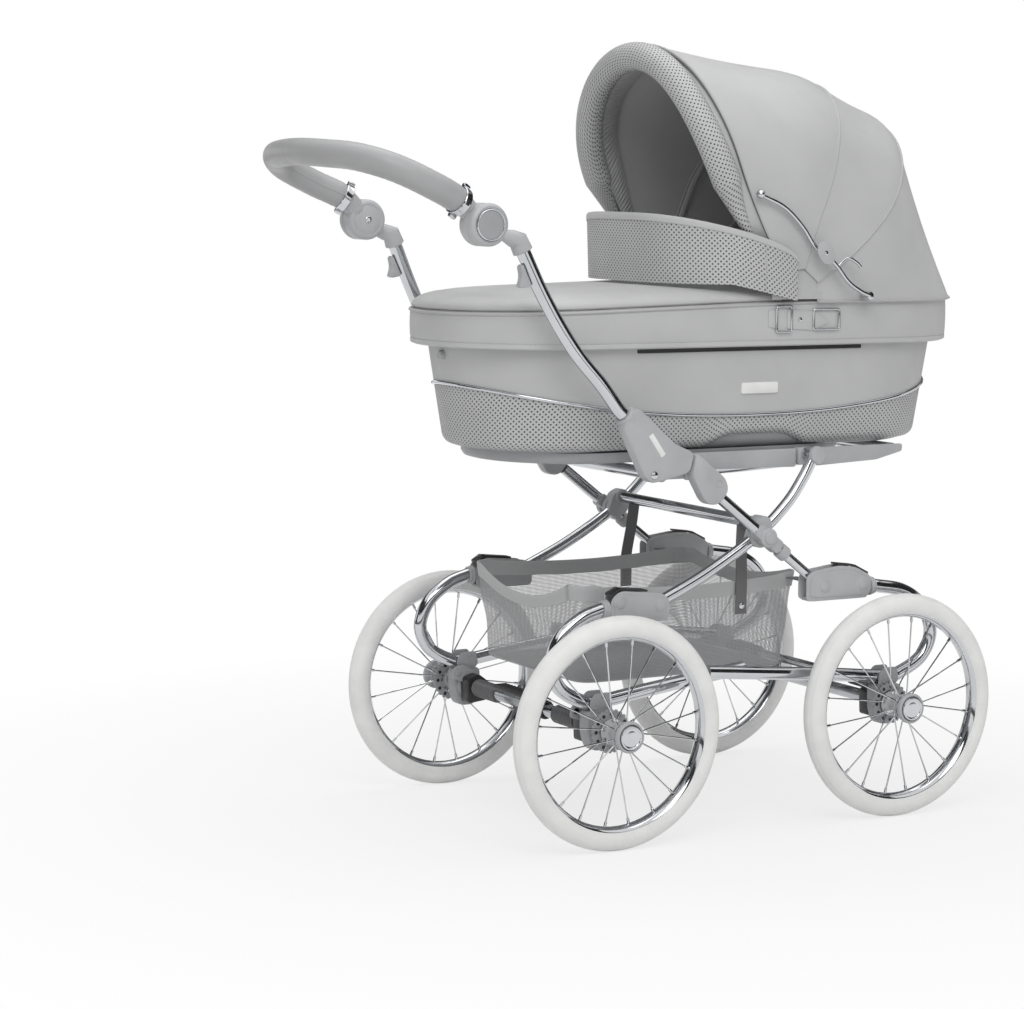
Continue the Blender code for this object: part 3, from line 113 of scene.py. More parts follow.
class Paint:
    """Short names for building one node material."""

    def __init__(self, name, colour, roughness, metallic=0.0):
        self.material = bpy.data.materials.new(name)
        self.material.use_nodes = True
        self.material.diffuse_color = (*colour, 1.0)
        self.tree = self.material.node_tree
        self.shader = self.tree.nodes["Principled BSDF"]
        self.shader.inputs["Base Color"].default_value = (*colour, 1.0)
        self.shader.inputs["Roughness"].default_value = roughness
        self.shader.inputs["Metallic"].default_value = metallic
        self.colour = colour

    def node(self, kind, **values):
        made = self.tree.nodes.new(kind)
        for key, value in values.items():
            if hasattr(made, key):
                setattr(made, key, value)
            else:
                made.inputs[key.replace("_", " ")].default_value = value
        return made

    def link(self, out, into):
        self.tree.links.new(out, into)

    def math(self, operation, a, b=None, clamp=False):
        made = self.node("ShaderNodeMath", operation=operation, use_clamp=clamp)
        for socket, value in zip(made.inputs, (a, b)):
            if value is None:
                continue
            if isinstance(value, (int, float)):
                socket.default_value = value
            else:
                self.link(value, socket)
        return made.outputs[0]

    def vector_math(self, operation, a, b=None):
        made = self.node("ShaderNodeVectorMath", operation=operation)
        for socket, value in zip(made.inputs, (a, b)):
            if value is None:
                continue
            if isinstance(value, (tuple, list)):
                socket.default_value = value
            else:
                self.link(value, socket)
        return made.outputs["Value"] if operation == "LENGTH" else made.outputs[0]

    def place(self):
        return self.node("ShaderNodeTexCoord").outputs["Object"]

    def metres(self):
        return self.node("ShaderNodeUVMap", uv_map="metres").outputs[0]

    def noise(self, scale, detail=3.0, where=None):
        made = self.node("ShaderNodeTexNoise", Scale=scale, Detail=detail)
        self.link(where or self.place(), made.inputs["Vector"])
        return made.outputs["Fac"]

    def ramp(self, value, low, high, from_low=0.35, from_high=0.65):
        made = self.node("ShaderNodeMapRange")
        self.link(value, made.inputs["Value"])
        limits = {"From Min": from_low, "From Max": from_high, "To Min": low, "To Max": high}
        for key, number in limits.items():
            made.inputs[key].default_value = number
        return made.outputs["Result"]

    def mix(self, share, first, second):
        made = self.node("ShaderNodeMix", data_type="RGBA")
        self.link(share, made.inputs["Factor"])
        for name, value in (("A", first), ("B", second)):
            socket = [s for s in made.inputs if s.name == name and s.type == "RGBA"][0]
            if isinstance(value, tuple):
                socket.default_value = (*value, 1.0)
            else:
                self.link(value, socket)
        return [s for s in made.outputs if s.type == "RGBA"][0]

    def bump(self, height, distance, strength=1.0, under=None):
        made = self.node("ShaderNodeBump", Strength=strength, Distance=distance)
        self.link(height, made.inputs["Height"])
        if under:
            self.link(under, made.inputs["Normal"])
        self.link(made.outputs[0], self.shader.inputs["Normal"])
        return made.outputs[0]

    def set(self, name, value):
        socket = self.shader.inputs[name]
        if isinstance(value, (int, float, tuple)):
            socket.default_value = value
        else:
            self.link(value, socket)


def shade(colour, factor):
    return tuple(min(c * factor, 1.0) for c in colour)


def chrome_paint(name, colour, roughness):
    """Bright plate with faint wipe marks and uneven gloss."""
    paint = Paint(name, colour, roughness, 1.0)
    marks = paint.noise(38.0, 5.0)
    paint.set("Roughness", paint.ramp(marks, roughness * 0.6, roughness * 1.8))
    paint.set("Base Color", paint.mix(paint.ramp(paint.noise(9.0), 0.0, 1.0), colour, shade(colour, 0.90)))
    paint.bump(paint.noise(900.0, 2.0), 0.00002, 0.25)
    return paint.material


def plastic_paint(name, colour, roughness, grain=0.00004):
    """Moulded plastic with a fine spark-eroded grain."""
    paint = Paint(name, colour, roughness)
    clouds = paint.ramp(paint.noise(14.0), 0.0, 1.0)
    paint.set("Base Color", paint.mix(clouds, shade(colour, 0.92), shade(colour, 1.06)))
    paint.set("Roughness", paint.ramp(paint.noise(60.0, 4.0), roughness - 0.06, roughness + 0.08))
    paint.bump(paint.noise(1800.0, 2.0), grain, 0.6)
    return paint.material


def rubber_paint(name, colour):
    """Pale tyre rubber with dust in its pores."""
    paint = Paint(name, colour, 0.62)
    dust = paint.ramp(paint.noise(26.0, 5.0), 0.0, 1.0)
    paint.set("Base Color", paint.mix(dust, colour, shade(colour, 0.93)))
    paint.set("Roughness", paint.ramp(paint.noise(120.0), 0.55, 0.75))
    paint.bump(paint.noise(1400.0, 3.0), 0.00005, 0.5)
    return paint.material


def grain_height(paint, scale):
    cells = paint.node("ShaderNodeTexVoronoi", feature="F1", Scale=scale)
    paint.link(paint.place(), cells.inputs["Vector"])
    return paint.math("ADD", paint.math("MULTIPLY", cells.outputs["Distance"], 0.6),
                      paint.math("MULTIPLY", paint.noise(scale * 0.35, 3.0), 0.8))


def leather_paint(name, colour, roughness=0.5):
    """Smooth leatherette with a pebbled grain and soft cloudy tone."""
    paint = Paint(name, colour, roughness)
    clouds = paint.ramp(paint.noise(7.0, 4.0), 0.0, 1.0)
    paint.set("Base Color", paint.mix(clouds, shade(colour, 0.95), shade(colour, 1.04)))
    paint.set("Roughness", paint.ramp(paint.noise(30.0, 4.0), roughness - 0.07, roughness + 0.09))
    paint.bump(grain_height(paint, 900.0), 0.00012, 0.55)
    paint.set("Sheen Weight", 0.08)
    return paint.material


def hole_mask(paint, pitch, radius, edge=0.0003):
    """One where a staggered row of round holes is, over a flat map in metres."""
    step = (pitch, pitch * 0.9, 1.0)
    reaches = []
    for shift in ((0.0, 0.0, 0.0), (0.5, 0.5, 0.0)):
        cells = paint.vector_math("DIVIDE", paint.metres(), step)
        cells = paint.vector_math("FRACTION", paint.vector_math("ADD", cells, shift))
        away = paint.vector_math("SUBTRACT", cells, (0.5, 0.5, 0.0))
        away = paint.vector_math("MULTIPLY", away, (step[0], step[1], 0.0))
        reaches.append(paint.vector_math("LENGTH", away))
    nearest = paint.math("MINIMUM", reaches[0], reaches[1])
    return paint.ramp(nearest, 1.0, 0.0, radius - edge, radius + edge)


def perforated_paint(name, colour, hole_shade_colour, pitch=0.0086, radius=0.00125):
    """Leatherette punched with small holes in staggered rows; the holes are painted dark, as painted shade
    inside them.
    """
    paint = Paint(name, colour, 0.5)
    mask = hole_mask(paint, pitch, radius)
    cloudy = paint.mix(paint.ramp(paint.noise(9.0, 4.0), 0.0, 1.0), shade(colour, 0.95), shade(colour, 1.04))
    # The holes are painted dark: painted shade inside them.
    paint.set("Base Color", paint.mix(mask, cloudy, hole_shade_colour))
    paint.set("Roughness", paint.ramp(paint.noise(30.0, 4.0), 0.44, 0.60))
    fine = paint.bump(grain_height(paint, 900.0), 0.0001, 0.5)
    paint.bump(paint.math("SUBTRACT", 1.0, mask), 0.0007, 0.9, fine)
    return paint.material


def weave_paint(name, colour, dark, pitch, depth, contrast=1.0, open_holes=False):
    """Plain weave of threads over a flat map in metres, with see-through holes for a net."""
    paint = Paint(name, colour, 0.8)
    split = paint.node("ShaderNodeSeparateXYZ")
    paint.link(paint.metres(), split.inputs[0])
    waves = []
    for axis in (0, 1):
        turns = paint.math("MULTIPLY", split.outputs[axis], math.pi / pitch)
        waves.append(paint.math("ABSOLUTE", paint.math("SINE", turns)))
    height = paint.math("MULTIPLY", waves[0], waves[1])
    tone = paint.ramp(height, contrast, 0.0, 0.10, 0.55)
    paint.set("Base Color", paint.mix(tone, colour, dark))
    if open_holes:
        paint.set("Alpha", paint.ramp(height, 1.0, 0.0, 0.38, 0.52))
    paint.bump(height, depth, 0.8)
    paint.set("Sheen Weight", 0.15)
    return paint.material


CHROME = chrome_paint("chrome", (0.62, 0.63, 0.65), 0.08)
# Darker, duller copy of the chrome for the axles and front bridge: painted shade where they lie low under the
# cot.
AXLE_SHADE_CHROME = chrome_paint("shaded_chrome", (0.50, 0.51, 0.53), 0.16)
GREY = plastic_paint("grey_moulding", (0.36, 0.365, 0.375), 0.42)
LIGHT_GREY = plastic_paint("pale_grey_moulding", (0.47, 0.475, 0.485), 0.40)
DARK_GREY = plastic_paint("dark_grey_moulding", (0.12, 0.12, 0.125), 0.42)
BLACK = plastic_paint("black_moulding", (0.022, 0.022, 0.024), 0.36)
TYRE = rubber_paint("white_rubber", (0.90, 0.90, 0.89))
LEATHER_COLOUR = (0.535, 0.537, 0.54)
LEATHER = leather_paint("grey_leatherette", LEATHER_COLOUR)
PIPING = leather_paint("piping", (0.47, 0.47, 0.475), 0.55)
GRIP = leather_paint("grip_leatherette", (0.40, 0.402, 0.408), 0.42)
# The near-black colour of the perforations is painted shade inside the holes.
PERFORATED = perforated_paint("perforated_leatherette", (0.52, 0.522, 0.525), (0.030, 0.030, 0.032))
LINING = weave_paint("lining_cotton", (0.60, 0.60, 0.605), (0.50, 0.50, 0.505), 0.0007, 0.0001, 0.5)
MATTRESS = weave_paint("mattress_cotton", (0.74, 0.74, 0.73), (0.56, 0.56, 0.55), 0.0008, 0.00012, 0.5)
NET = weave_paint("basket_net", (0.50, 0.505, 0.515), (0.40, 0.40, 0.41), 0.0022, 0.0003, 0.6, True)
BAND = weave_paint("basket_band", (0.56, 0.565, 0.57), (0.40, 0.40, 0.405), 0.0011, 0.00015, 0.6)
FLOOR_CLOTH = weave_paint("basket_floor", (0.36, 0.365, 0.37), (0.24, 0.24, 0.245), 0.0011, 0.00015, 0.6)
STRAP = weave_paint("basket_strap", (0.19, 0.19, 0.195), (0.10, 0.10, 0.103), 0.0012, 0.0002, 0.6)


# Shapes

def finish_piece(name, work, paint, body, slot, *nodes, sharp=40):
    """Turns a mesh in progress into one named piece that rides on a body."""
    bmesh.ops.remove_doubles(work, verts=work.verts, dist=1e-6)
    bmesh.ops.recalc_face_normals(work, faces=work.faces)
    mesh = bpy.data.meshes.new(name)
    work.to_mesh(mesh)
    work.free()
    mesh.materials.append(paint)
    mesh.shade_smooth()
    mesh.set_sharp_from_angle(angle=math.radians(sharp))
    return place_piece(name, mesh, body, slot, *nodes)


def place_piece(name, mesh, body, slot, *nodes, turn=None):
    item = bpy.data.objects.new(name, mesh)
    bpy.context.scene.collection.objects.link(item)
    if turn:
        item.matrix_world = turn
    if body:
        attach(item, body)
    if nodes:
        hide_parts(*nodes)
    return item


def running_length(points):
    total = [0.0]
    for first, second in zip(points, points[1:]):
        total.append(total[-1] + (second - first).length)
    return total


def surface(work, grid, around=False):
    """Faces through a grid of points, with a flat map of it in metres."""
    layer = work.loops.layers.uv.get("metres") or work.loops.layers.uv.new("metres")
    rows = [[work.verts.new(point) for point in row] for row in grid]
    count = len(grid[0])
    across = [running_length([*row, row[0]] if around else row) for row in grid]
    along = [running_length([row[j] for row in grid]) for j in range(count)]
    for i in range(len(grid) - 1):
        for j in range(count if around else count - 1):
            corners = ((i, j), (i, j + 1), (i + 1, j + 1), (i + 1, j))
            face = work.faces.new([rows[a][b % count] for a, b in corners])
            for loop, (a, b) in zip(face.loops, corners):
                loop[layer].uv = (across[a][b] - across[a][-1] / 2, along[b % count][a])
    return rows


def smooth_path(points, steps):
    """Catmull-Rom curve through the points."""
    ends = [points[0] * 2 - points[1], *points, points[-1] * 2 - points[-2]]
    path = []
    for index in range(1, len(ends) - 2):
        before, start, end, after = ends[index - 1:index + 3]
        for step in range(steps):
            t = step / steps
            path.append(0.5 * (2 * start + (end - before) * t
                               + (2 * before - 5 * start + 4 * end - after) * t * t
                               + (3 * start - before - 3 * end + after) * t * t * t))
    path.append(points[-1].copy())
    return path


def sweep(work, path, radius, sides=18, capped=True, tall=1.0):
    """A round or oval bar along a path; the radius is a number or one for each point."""
    radii = radius if isinstance(radius, list) else [radius] * len(path)
    last = len(path) - 1
    ways = [(path[min(i + 1, last)] - path[max(i - 1, 0)]).normalized() for i in range(last + 1)]
    across = ways[0].cross(Vector((0, 1, 0)))
    if across.length < 0.2:
        across = ways[0].cross(Vector((0, 0, 1)))
    grid = []
    for point, way, size in zip(path, ways, radii):
        across = (across - way * across.dot(way)).normalized()
        third = way.cross(across)
        grid.append([point + across * (tall * size * math.cos(2 * math.pi * k / sides))
                     + third * (size * math.sin(2 * math.pi * k / sides)) for k in range(sides)])
    rows = surface(work, grid, around=True)
    if capped:
        work.faces.new(list(reversed(rows[0])))
        work.faces.new(rows[-1])
    return rows


def turned(work, profile, centre, axis=Vector((0, 1, 0)), segments=40):
    """A turned form about an axis from (radius, distance) points; the profile isn't closed by itself."""
    first = Vector((1, 0, 0)) if abs(axis.y) > 0.9 else axis.orthogonal().normalized()
    second = axis.cross(first)
    grid = []
    for radius, along in profile:
        grid.append([centre + axis * along + (first * math.cos(2 * math.pi * k / segments)
                                              + second * math.sin(2 * math.pi * k / segments)) * radius
                     for k in range(segments)])
    return surface(work, grid, around=True)


def rounded(outline, radius, steps=4):
    """An outline with each corner rounded by a small arc."""
    points = []
    count = len(outline)
    for index in range(count):
        corner = Vector(outline[index])
        before = Vector(outline[index - 1]) - corner
        after = Vector(outline[(index + 1) % count]) - corner
        reach = min(radius, before.length * 0.45, after.length * 0.45)
        start = corner + before.normalized() * reach
        end = corner + after.normalized() * reach
        for step in range(steps + 1):
            t = step / steps
            point = start * (1 - t) ** 2 + corner * 2 * t * (1 - t) + end * t * t
            points.append((point.x, point.y))
    return points


def plate(work, outline, y_start, y_end, edge=0.001, corner=0.004, steps=4):
    """A flat plate with an (X, Z) outline from the axle, rounded corners and softened edges."""
    shape = rounded(outline, corner, steps) if corner else list(outline)
    middle = Vector((sum(p[0] for p in shape), sum(p[1] for p in shape))) / len(shape)

    def ring(inset, y):
        points = []
        for x, z in shape:
            away = Vector((x, z)) - middle
            point = middle + away * (1 - inset / max(away.length, 1e-6))
            points.append(at(point.x, y, point.y))
        return points

    way = 1 if y_end > y_start else -1
    levels = [(edge, 0.0), (edge * 0.3, edge * 0.3), (0.0, edge)]
    grid = [ring(inset, y_start + way * depth) for inset, depth in levels]
    grid += [ring(inset, y_end - way * depth) for inset, depth in reversed(levels)]
    rows = surface(work, grid, around=True)
    work.faces.new(list(reversed(rows[0])))
    work.faces.new(rows[-1])
    return rows


def slab(work, low, high, edge=0.001):
    """A box with softened edges, from the axle."""
    outline = [(low[0], low[2]), (high[0], low[2]), (high[0], high[2]), (low[0], high[2])]
    return plate(work, outline, low[1], high[1], edge, edge * 1.5, 3)


def pin(work, point, radius, y_start, y_end, dome=0.0012, segments=28):
    """A round head across the pram, domed at its far end."""
    way = 1 if y_end > y_start else -1
    profile = [(0.0, y_start), (radius, y_start), (radius, y_end - way * dome),
               (radius * 0.9, y_end - way * dome * 0.35), (radius * 0.6, y_end), (0.0, y_end)]
    return turned(work, profile, side_point(point), segments=segments)


# Wheels

RIM_EDGE = 0.1500
RIM_FLOOR = 0.1385
HUB_FLANGE = 0.0170
SPOKES = 20
SPOKE_RADIUS = 0.0012


def tyre_mesh():
    """Round tyre with a ribbed tread and a moulding line on each side."""
    middle = WHEEL_RADIUS - TYRE_RADIUS
    work = bmesh.new()
    profile = []
    steps = 44
    for step in range(steps + 1):
        angle = math.radians(-132 + 264 * step / steps)
        away = abs(math.degrees(angle))
        groove = 0.0005 if 24 < away < 30 or 8 < away < 12 or 78 < away < 82 else 0.0
        reach = TYRE_RADIUS - groove
        radius = min(middle + reach * math.cos(angle), WHEEL_RADIUS - groove)
        profile.append((radius, reach * math.sin(angle)))
    profile.append((profile[0][0], profile[0][1]))
    turned(work, profile, Vector((0, 0, 0)), segments=96)
    return work


def rim_mesh():
    half = [(0.1455, 0.0105), (RIM_EDGE, 0.0112), (RIM_EDGE + 0.0012, 0.0126), (RIM_EDGE, 0.0141),
            (0.1475, 0.0140), (0.1443, 0.0118), (0.1413, 0.0085), (0.1392, 0.0045), (RIM_FLOOR, 0.0)]
    work = bmesh.new()
    profile = half + [(radius, -y) for radius, y in reversed(half[:-1])]
    profile.append(profile[0])
    turned(work, profile, Vector((0, 0, 0)), segments=96)
    return work


def spokes_mesh():
    """Thin spokes that lean out to two flanges in turn, each with its nipple at the rim."""
    work = bmesh.new()
    for index in range(SPOKES):
        outer = index % 2 == 1
        angle = 2 * math.pi * (index + 0.5) / SPOKES
        lean = math.radians(7 if index % 4 < 2 else -7)
        start = Vector((math.cos(angle + lean), 0, math.sin(angle + lean))) * HUB_FLANGE
        start.y = 0.0165 if outer else -0.0150
        end = Vector((math.cos(angle), 0, math.sin(angle))) * (RIM_FLOOR + 0.002)
        end.y = 0.0015 if outer else -0.0015
        sweep(work, [start, end], SPOKE_RADIUS, 8)
        way = (start - end).normalized()
        sweep(work, [end, end + way * 0.009, end + way * 0.010], [0.0022, 0.0022, 0.0013], 8)
        sweep(work, [start - Vector((0, 0.003, 0)), start + Vector((0, 0.003, 0))], 0.0021, 8)
    return work


def hub_mesh():
    """Barrel with two drilled flanges, stub sleeve and the ring that seats the cap."""
    work = bmesh.new()
    profile = [(0.0065, -0.0225), (0.0120, -0.0225), (0.0135, -0.0205), (0.0135, -0.0175), (0.0195, -0.0165),
               (0.0200, -0.0145), (0.0150, -0.0130), (0.0105, -0.0100), (0.0100, 0.0),
               (0.0105, 0.0110), (0.0150, 0.0140), (0.0200, 0.0155), (0.0195, 0.0180), (0.0140, 0.0190),
               (0.0135, 0.0240), (0.0150, 0.0262), (0.0205, 0.0275), (0.0231, 0.0290), (0.0235, 0.0305),
               (0.0235, 0.0350), (0.0226, 0.0367), (0.0208, 0.0371), (0.0194, 0.0366), (0.0190, 0.0350),
               (0.0190, 0.0270), (0.0, 0.0270)]
    turned(work, profile, Vector((0, 0, 0)), segments=48)
    return work


def ring_at(radius, y, steps, reach=None):
    """Points round the wheel's axis; reach gives the radius at each step instead."""
    points = []
    for step in range(steps):
        angle = 2 * math.pi * step / steps
        away = reach(step) if reach else radius
        points.append(Vector((away * math.cos(angle), y, away * math.sin(angle))))
    return points


def ratchet_mesh():
    """Toothed drum behind the spokes."""
    work = bmesh.new()
    steps = 96
    teeth = [ring_at(0, y, steps, lambda k: 0.0330 if k % 4 < 2 else 0.0308) for y in (-0.0215, -0.0185)]
    inner = [ring_at(0.0205, y, steps) for y in (-0.0215, -0.0185)]
    surface(work, [inner[0], teeth[0], teeth[1], inner[1], inner[0]], around=True)
    return work


def ratchet_hole_shade_mesh():
    """Black discs on both faces of the drum: painted shade that stands for the recesses round it."""
    work = bmesh.new()
    for index in range(12):
        angle = 2 * math.pi * index / 12
        centre = Vector((0.0262 * math.cos(angle), 0, 0.0262 * math.sin(angle)))
        for y, way in ((-0.0214, -1), (-0.0186, 1)):
            face = y + way * 0.0003
            turned(work, [(0.0, y), (0.0024, y), (0.0028, face), (0.0, face)], centre, segments=12)
    return work


def cap_mesh():
    work = bmesh.new()
    profile = [(0.0, 0.0312), (0.0183, 0.0312), (0.0183, 0.0376), (0.0177, 0.0388), (0.0165, 0.0393),
               (0.0153, 0.0390), (0.0148, 0.0381), (0.0142, 0.0378), (0.0100, 0.0385), (0.0050, 0.0389),
               (0.0, 0.0390)]
    turned(work, profile, Vector((0, 0, 0)), segments=48)
    return work


def build_wheels():
    """Four wheels that share their meshes; those of the right side are turned round."""
    kinds = (("tyre", tyre_mesh, TYRE, "tyre_white"), ("rim", rim_mesh, CHROME, "chrome"),
             ("spokes", spokes_mesh, CHROME, "chrome"), ("hub", hub_mesh, LIGHT_GREY, "grey_plastic"),
             ("ratchet", ratchet_mesh, GREY, "grey_plastic"),
             # The ratchet's black discs are painted shade for its recesses.
             ("ratchet_holes", ratchet_hole_shade_mesh, BLACK, "black_plastic"),
             ("cap", cap_mesh, CHROME, "chrome"))
    meshes = {}
    for kind, make, paint, slot in kinds:
        work = make()
        bmesh.ops.remove_doubles(work, verts=work.verts, dist=1e-6)
        bmesh.ops.recalc_face_normals(work, faces=work.faces)
        mesh = bpy.data.meshes.new(kind)
        work.to_mesh(mesh)
        work.free()
        mesh.materials.append(paint)
        mesh.shade_smooth()
        mesh.set_sharp_from_angle(angle=math.radians(38))
        meshes[kind] = mesh
    stands_for = {"tyre": "tyre", "rim": "wheel", "cap": "cap"}
    for end, x in (("rear", 0.0), ("front", WHEELBASE)):
        for side, sign in SIDES:
            turn = Matrix.Translation(at(x, sign * WHEEL_PLANE, WHEEL_RADIUS))
            if sign < 0:
                turn = turn @ Matrix.Rotation(math.pi, 4, "Z")
            for kind, _, _, slot in kinds:
                body = f"{end}_{side}_cap" if kind == "cap" else f"{end}_{side}_wheel"
                nodes = [f"{end}_{side}_{stands_for[kind]}"] if kind in stands_for else []
                place_piece(f"{end}_{side}_{kind}_look", meshes[kind], body, slot, *nodes, turn=turn)

# Chassis

GAP = 0.0003
REAR_SPRING_ENTRY = 0.350
FRONT_SPRING_ENTRY = 0.360
REAR_SPRING_SEAT = 0.212
FRONT_SPRING_SEAT = 0.215
REAR_SPRING_DEPTH = 0.080
FRONT_SPRING_DEPTH = 0.089
REAR_BAR_END = 0.260
FRONT_BAR_END = 0.180
SPRING_BAR_RISE = 0.032
SPRING_SHAPE = ((0.36, 0.92), (0.80, 0.73), (1.0, 0.45), (0.82, 0.19), (0.38, 0.035), (0.0, 0.0))
REAR_BLOCK_FACE = 0.0147
FRONT_BLOCK_FACE = 0.4753
STUB_RADIUS = 0.006
STUB_REACH = 0.018
HUB_INNER_REACH = 0.022
AXLE_RADIUS = 0.010
CARRIER_THICKNESS = 0.026
CARRIER_WIDTH = 0.046
CARRIER_FOOT = 0.028
CARRIER_DROP = 0.034
BRIDGE_RADIUS = 0.0068
LATCH_FOOT = 0.2385
SLEEVE_FOOT = 0.083
INNER_LENGTH = 0.148
REAR_SLOT = FRAME_RADIUS + 0.0008
FRONT_SLOT = INNER_RADIUS + 0.0016
BLOCK_CHEEK = 0.0025
PIN_RADIUS = 0.009
PIN_HEIGHT = 0.0035
SEAT_REAR = (0.110, 0.545)
SEAT_MIDDLE = (0.300, 0.551)
SEAT_FRONT = (0.560, COT_BOTTOM - FRAME_RADIUS - 0.0012)
SEAT_BAR_REACH = 0.200
SADDLE_TOP = COT_BOTTOM - 0.0009
SADDLE_FOOT = 0.5485
SKIRT_FACES = (0.0097, 0.0145)
STEPS = 10


def piece(name, paint, body, slot, *nodes, sharp=40):
    """Starts a piece: the caller fills its mesh, then calls what comes back."""
    work = bmesh.new()
    return work, lambda: finish_piece(name, work, paint, body, slot, *nodes, sharp=sharp)


def tube_piece(name, path, radius, paint, body, slot, *nodes):
    work, done = piece(name, paint, body, slot, *nodes)
    sweep(work, path, radius)
    return done()


def c_spring(block_x, entry, seat_x, seat_z, depth, bar_end, y):
    """Line of a C spring from its block round to its seat on the axle, and back as a bar."""
    height = entry - seat_z
    points = [at(block_x + math.copysign(SPRING_RADIUS, depth), y, entry)]
    points += [at(seat_x + depth * out, y, seat_z + height * up) for out, up in SPRING_SHAPE]
    for share, rise in ((0.36, 0.38), (1.0, 1.0)):
        points.append(at(seat_x + (bar_end - seat_x) * share, y, seat_z + SPRING_BAR_RISE * rise))
    return [at(block_x, y, entry), *smooth_path(points, STEPS)]


def axle_profile():
    shoulder = WHEEL_PLANE - HUB_INNER_REACH - 0.0008
    end = WHEEL_PLANE + STUB_REACH
    half = [(0.0, end), (STUB_RADIUS - 0.0008, end), (STUB_RADIUS, end - 0.0008),
            (STUB_RADIUS, shoulder + 0.0005), (AXLE_RADIUS - 0.0006, shoulder),
            (AXLE_RADIUS, shoulder - 0.0006)]
    return [(radius, -y) for radius, y in half] + [(radius, y) for radius, y in reversed(half)]


def carrier_outline(x, top):
    """Side view of the bracket that seats a spring on an axle."""
    foot = CARRIER_FOOT / 2
    waist = CARRIER_WIDTH / 2
    low = WHEEL_RADIUS - CARRIER_DROP
    return [(x - foot, low), (x + foot, low), (x + waist, WHEEL_RADIUS - AXLE_RADIUS), (x + waist, top),
            (x - waist, top), (x - waist, WHEEL_RADIUS - AXLE_RADIUS)]


def ribbed_sleeve(work, y_start, y_end, radius, ribs):
    """A soft sleeve on the rear axle with rings round it."""
    profile = [(AXLE_RADIUS, y_start)]
    length = y_end - y_start
    for rib in range(ribs):
        for share, size in ((0.05, -0.0012), (0.25, 0.0), (0.65, 0.0), (0.85, -0.0012)):
            profile.append((radius + size, y_start + length * (rib + share) / ribs))
    profile.append((AXLE_RADIUS, y_end))
    turned(work, profile, at(0, 0, WHEEL_RADIUS), segments=28)


def spring_clamp(work, x, z, y, wide):
    """Two cheek plates that grip a spring over its seat, with bolt heads."""
    for side in (-1, 1):
        face = y + side * (SPRING_RADIUS + 0.0008)
        plate(work, [(x - wide, z - 0.014), (x + wide * 0.5, z - 0.014), (x + wide, z - 0.004),
                     (x + wide * 0.75, z + 0.016), (x - wide * 0.55, z + 0.016), (x - wide, z + 0.006)],
              face, face + side * 0.0022, 0.0006, 0.005)
        for along, up in ((-0.55, -0.006), (0.40, -0.005), (0.10, 0.010)):
            bolt = (x + wide * along, z + up)
            pin(work, bolt, 0.0026, face + side * 0.002, face + side * 0.0042, 0.0008, 12)


def build_axles():
    """Axles, the brackets and clamps on them, the sleeves and links of the brake, and the front bridge."""
    # The axles and the front bridge take the darker copy of the chrome, which is painted shade.
    work, done = piece("rear_axle_look", AXLE_SHADE_CHROME, "root", "chrome", "rear_axle")
    turned(work, axle_profile(), at(0, 0, WHEEL_RADIUS))
    done()
    front_top = FRONT_SPRING_SEAT - SPRING_RADIUS - GAP
    rear_top = REAR_SPRING_SEAT - SPRING_RADIUS - GAP
    bridge = (WHEELBASE + CARRIER_WIDTH / 4, front_top - BRIDGE_RADIUS - GAP)
    work, done = piece("front_axle_look", AXLE_SHADE_CHROME, "root", "chrome", "front_axle")
    turned(work, axle_profile(), at(WHEELBASE, 0, WHEEL_RADIUS))
    sweep(work, [side_point(bridge, y) for y in (-FRONT_PLANE, FRONT_PLANE)], BRIDGE_RADIUS)
    done()
    work, done = piece("front_bridge_sleeves", DARK_GREY, "root", "black_plastic")
    for _, sign in SIDES:
        sweep(work, [side_point(bridge, sign * y) for y in (0.130, 0.1305, 0.196, 0.2145)],
              [BRIDGE_RADIUS + 0.0004, 0.0115, 0.0130, 0.0100], 28)
    done()
    for side, sign in SIDES:
        build_carrier("rear", 0.0, REAR_PLANE, rear_top, side, sign)
        build_carrier("front", WHEELBASE, FRONT_PLANE, front_top, side, sign)
        work, done = piece(f"rear_axle_sleeve_{side}", DARK_GREY, "root", "black_plastic")
        ribbed_sleeve(work, sign * 0.155, sign * 0.092, 0.0142, 12)
        done()
        work, done = piece(f"brake_link_{side}", GREY, "root", "grey_plastic")
        face = sign * (REAR_PLANE - CARRIER_THICKNESS / 2 - 0.0055)
        plate(work, [(-0.034, 0.188), (-0.030, 0.206), (-0.012, 0.209), (0.008, 0.196), (0.012, 0.176),
                     (0.000, 0.168), (-0.010, 0.180)], face, face - sign * 0.006, 0.0012, 0.006)
        pin(work, (-0.024, 0.197), 0.0048, face, face - sign * 0.0085, 0.001, 18)
        done()


def build_carrier(end, x, plane, top, side, sign):
    """One axle bracket with its bosses, its spring clamp and the dark bracket behind it."""
    y = sign * plane
    half = CARRIER_THICKNESS / 2
    nodes = [f"rear_carrier_{side}"] if end == "rear" else []
    work, done = piece(f"{end}_carrier_look_{side}", GREY, "root", "grey_plastic", *nodes)
    plate(work, carrier_outline(x, top), y - half, y + half, 0.003, 0.009, 6)
    pin(work, (x, WHEEL_RADIUS), 0.0170, y, sign * (plane + half + 0.0015), 0.001)
    pin(work, (x, WHEEL_RADIUS), 0.0195, y, sign * (plane - half - 0.005), 0.002)
    spring_clamp(work, x, top + SPRING_RADIUS, y, CARRIER_WIDTH * 0.42)
    done()
    work, done = piece(f"{end}_carrier_bracket_{side}", BLACK, "root", "black_plastic")
    plate(work, [(x - 0.014, WHEEL_RADIUS - 0.026), (x + 0.020, WHEEL_RADIUS - 0.022),
                 (x + 0.024, WHEEL_RADIUS + 0.006), (x + 0.004, WHEEL_RADIUS + 0.021),
                 (x - 0.016, WHEEL_RADIUS + 0.015)],
          sign * (plane - half - 0.005), sign * (plane - half - 0.030), 0.0015, 0.005)
    done()


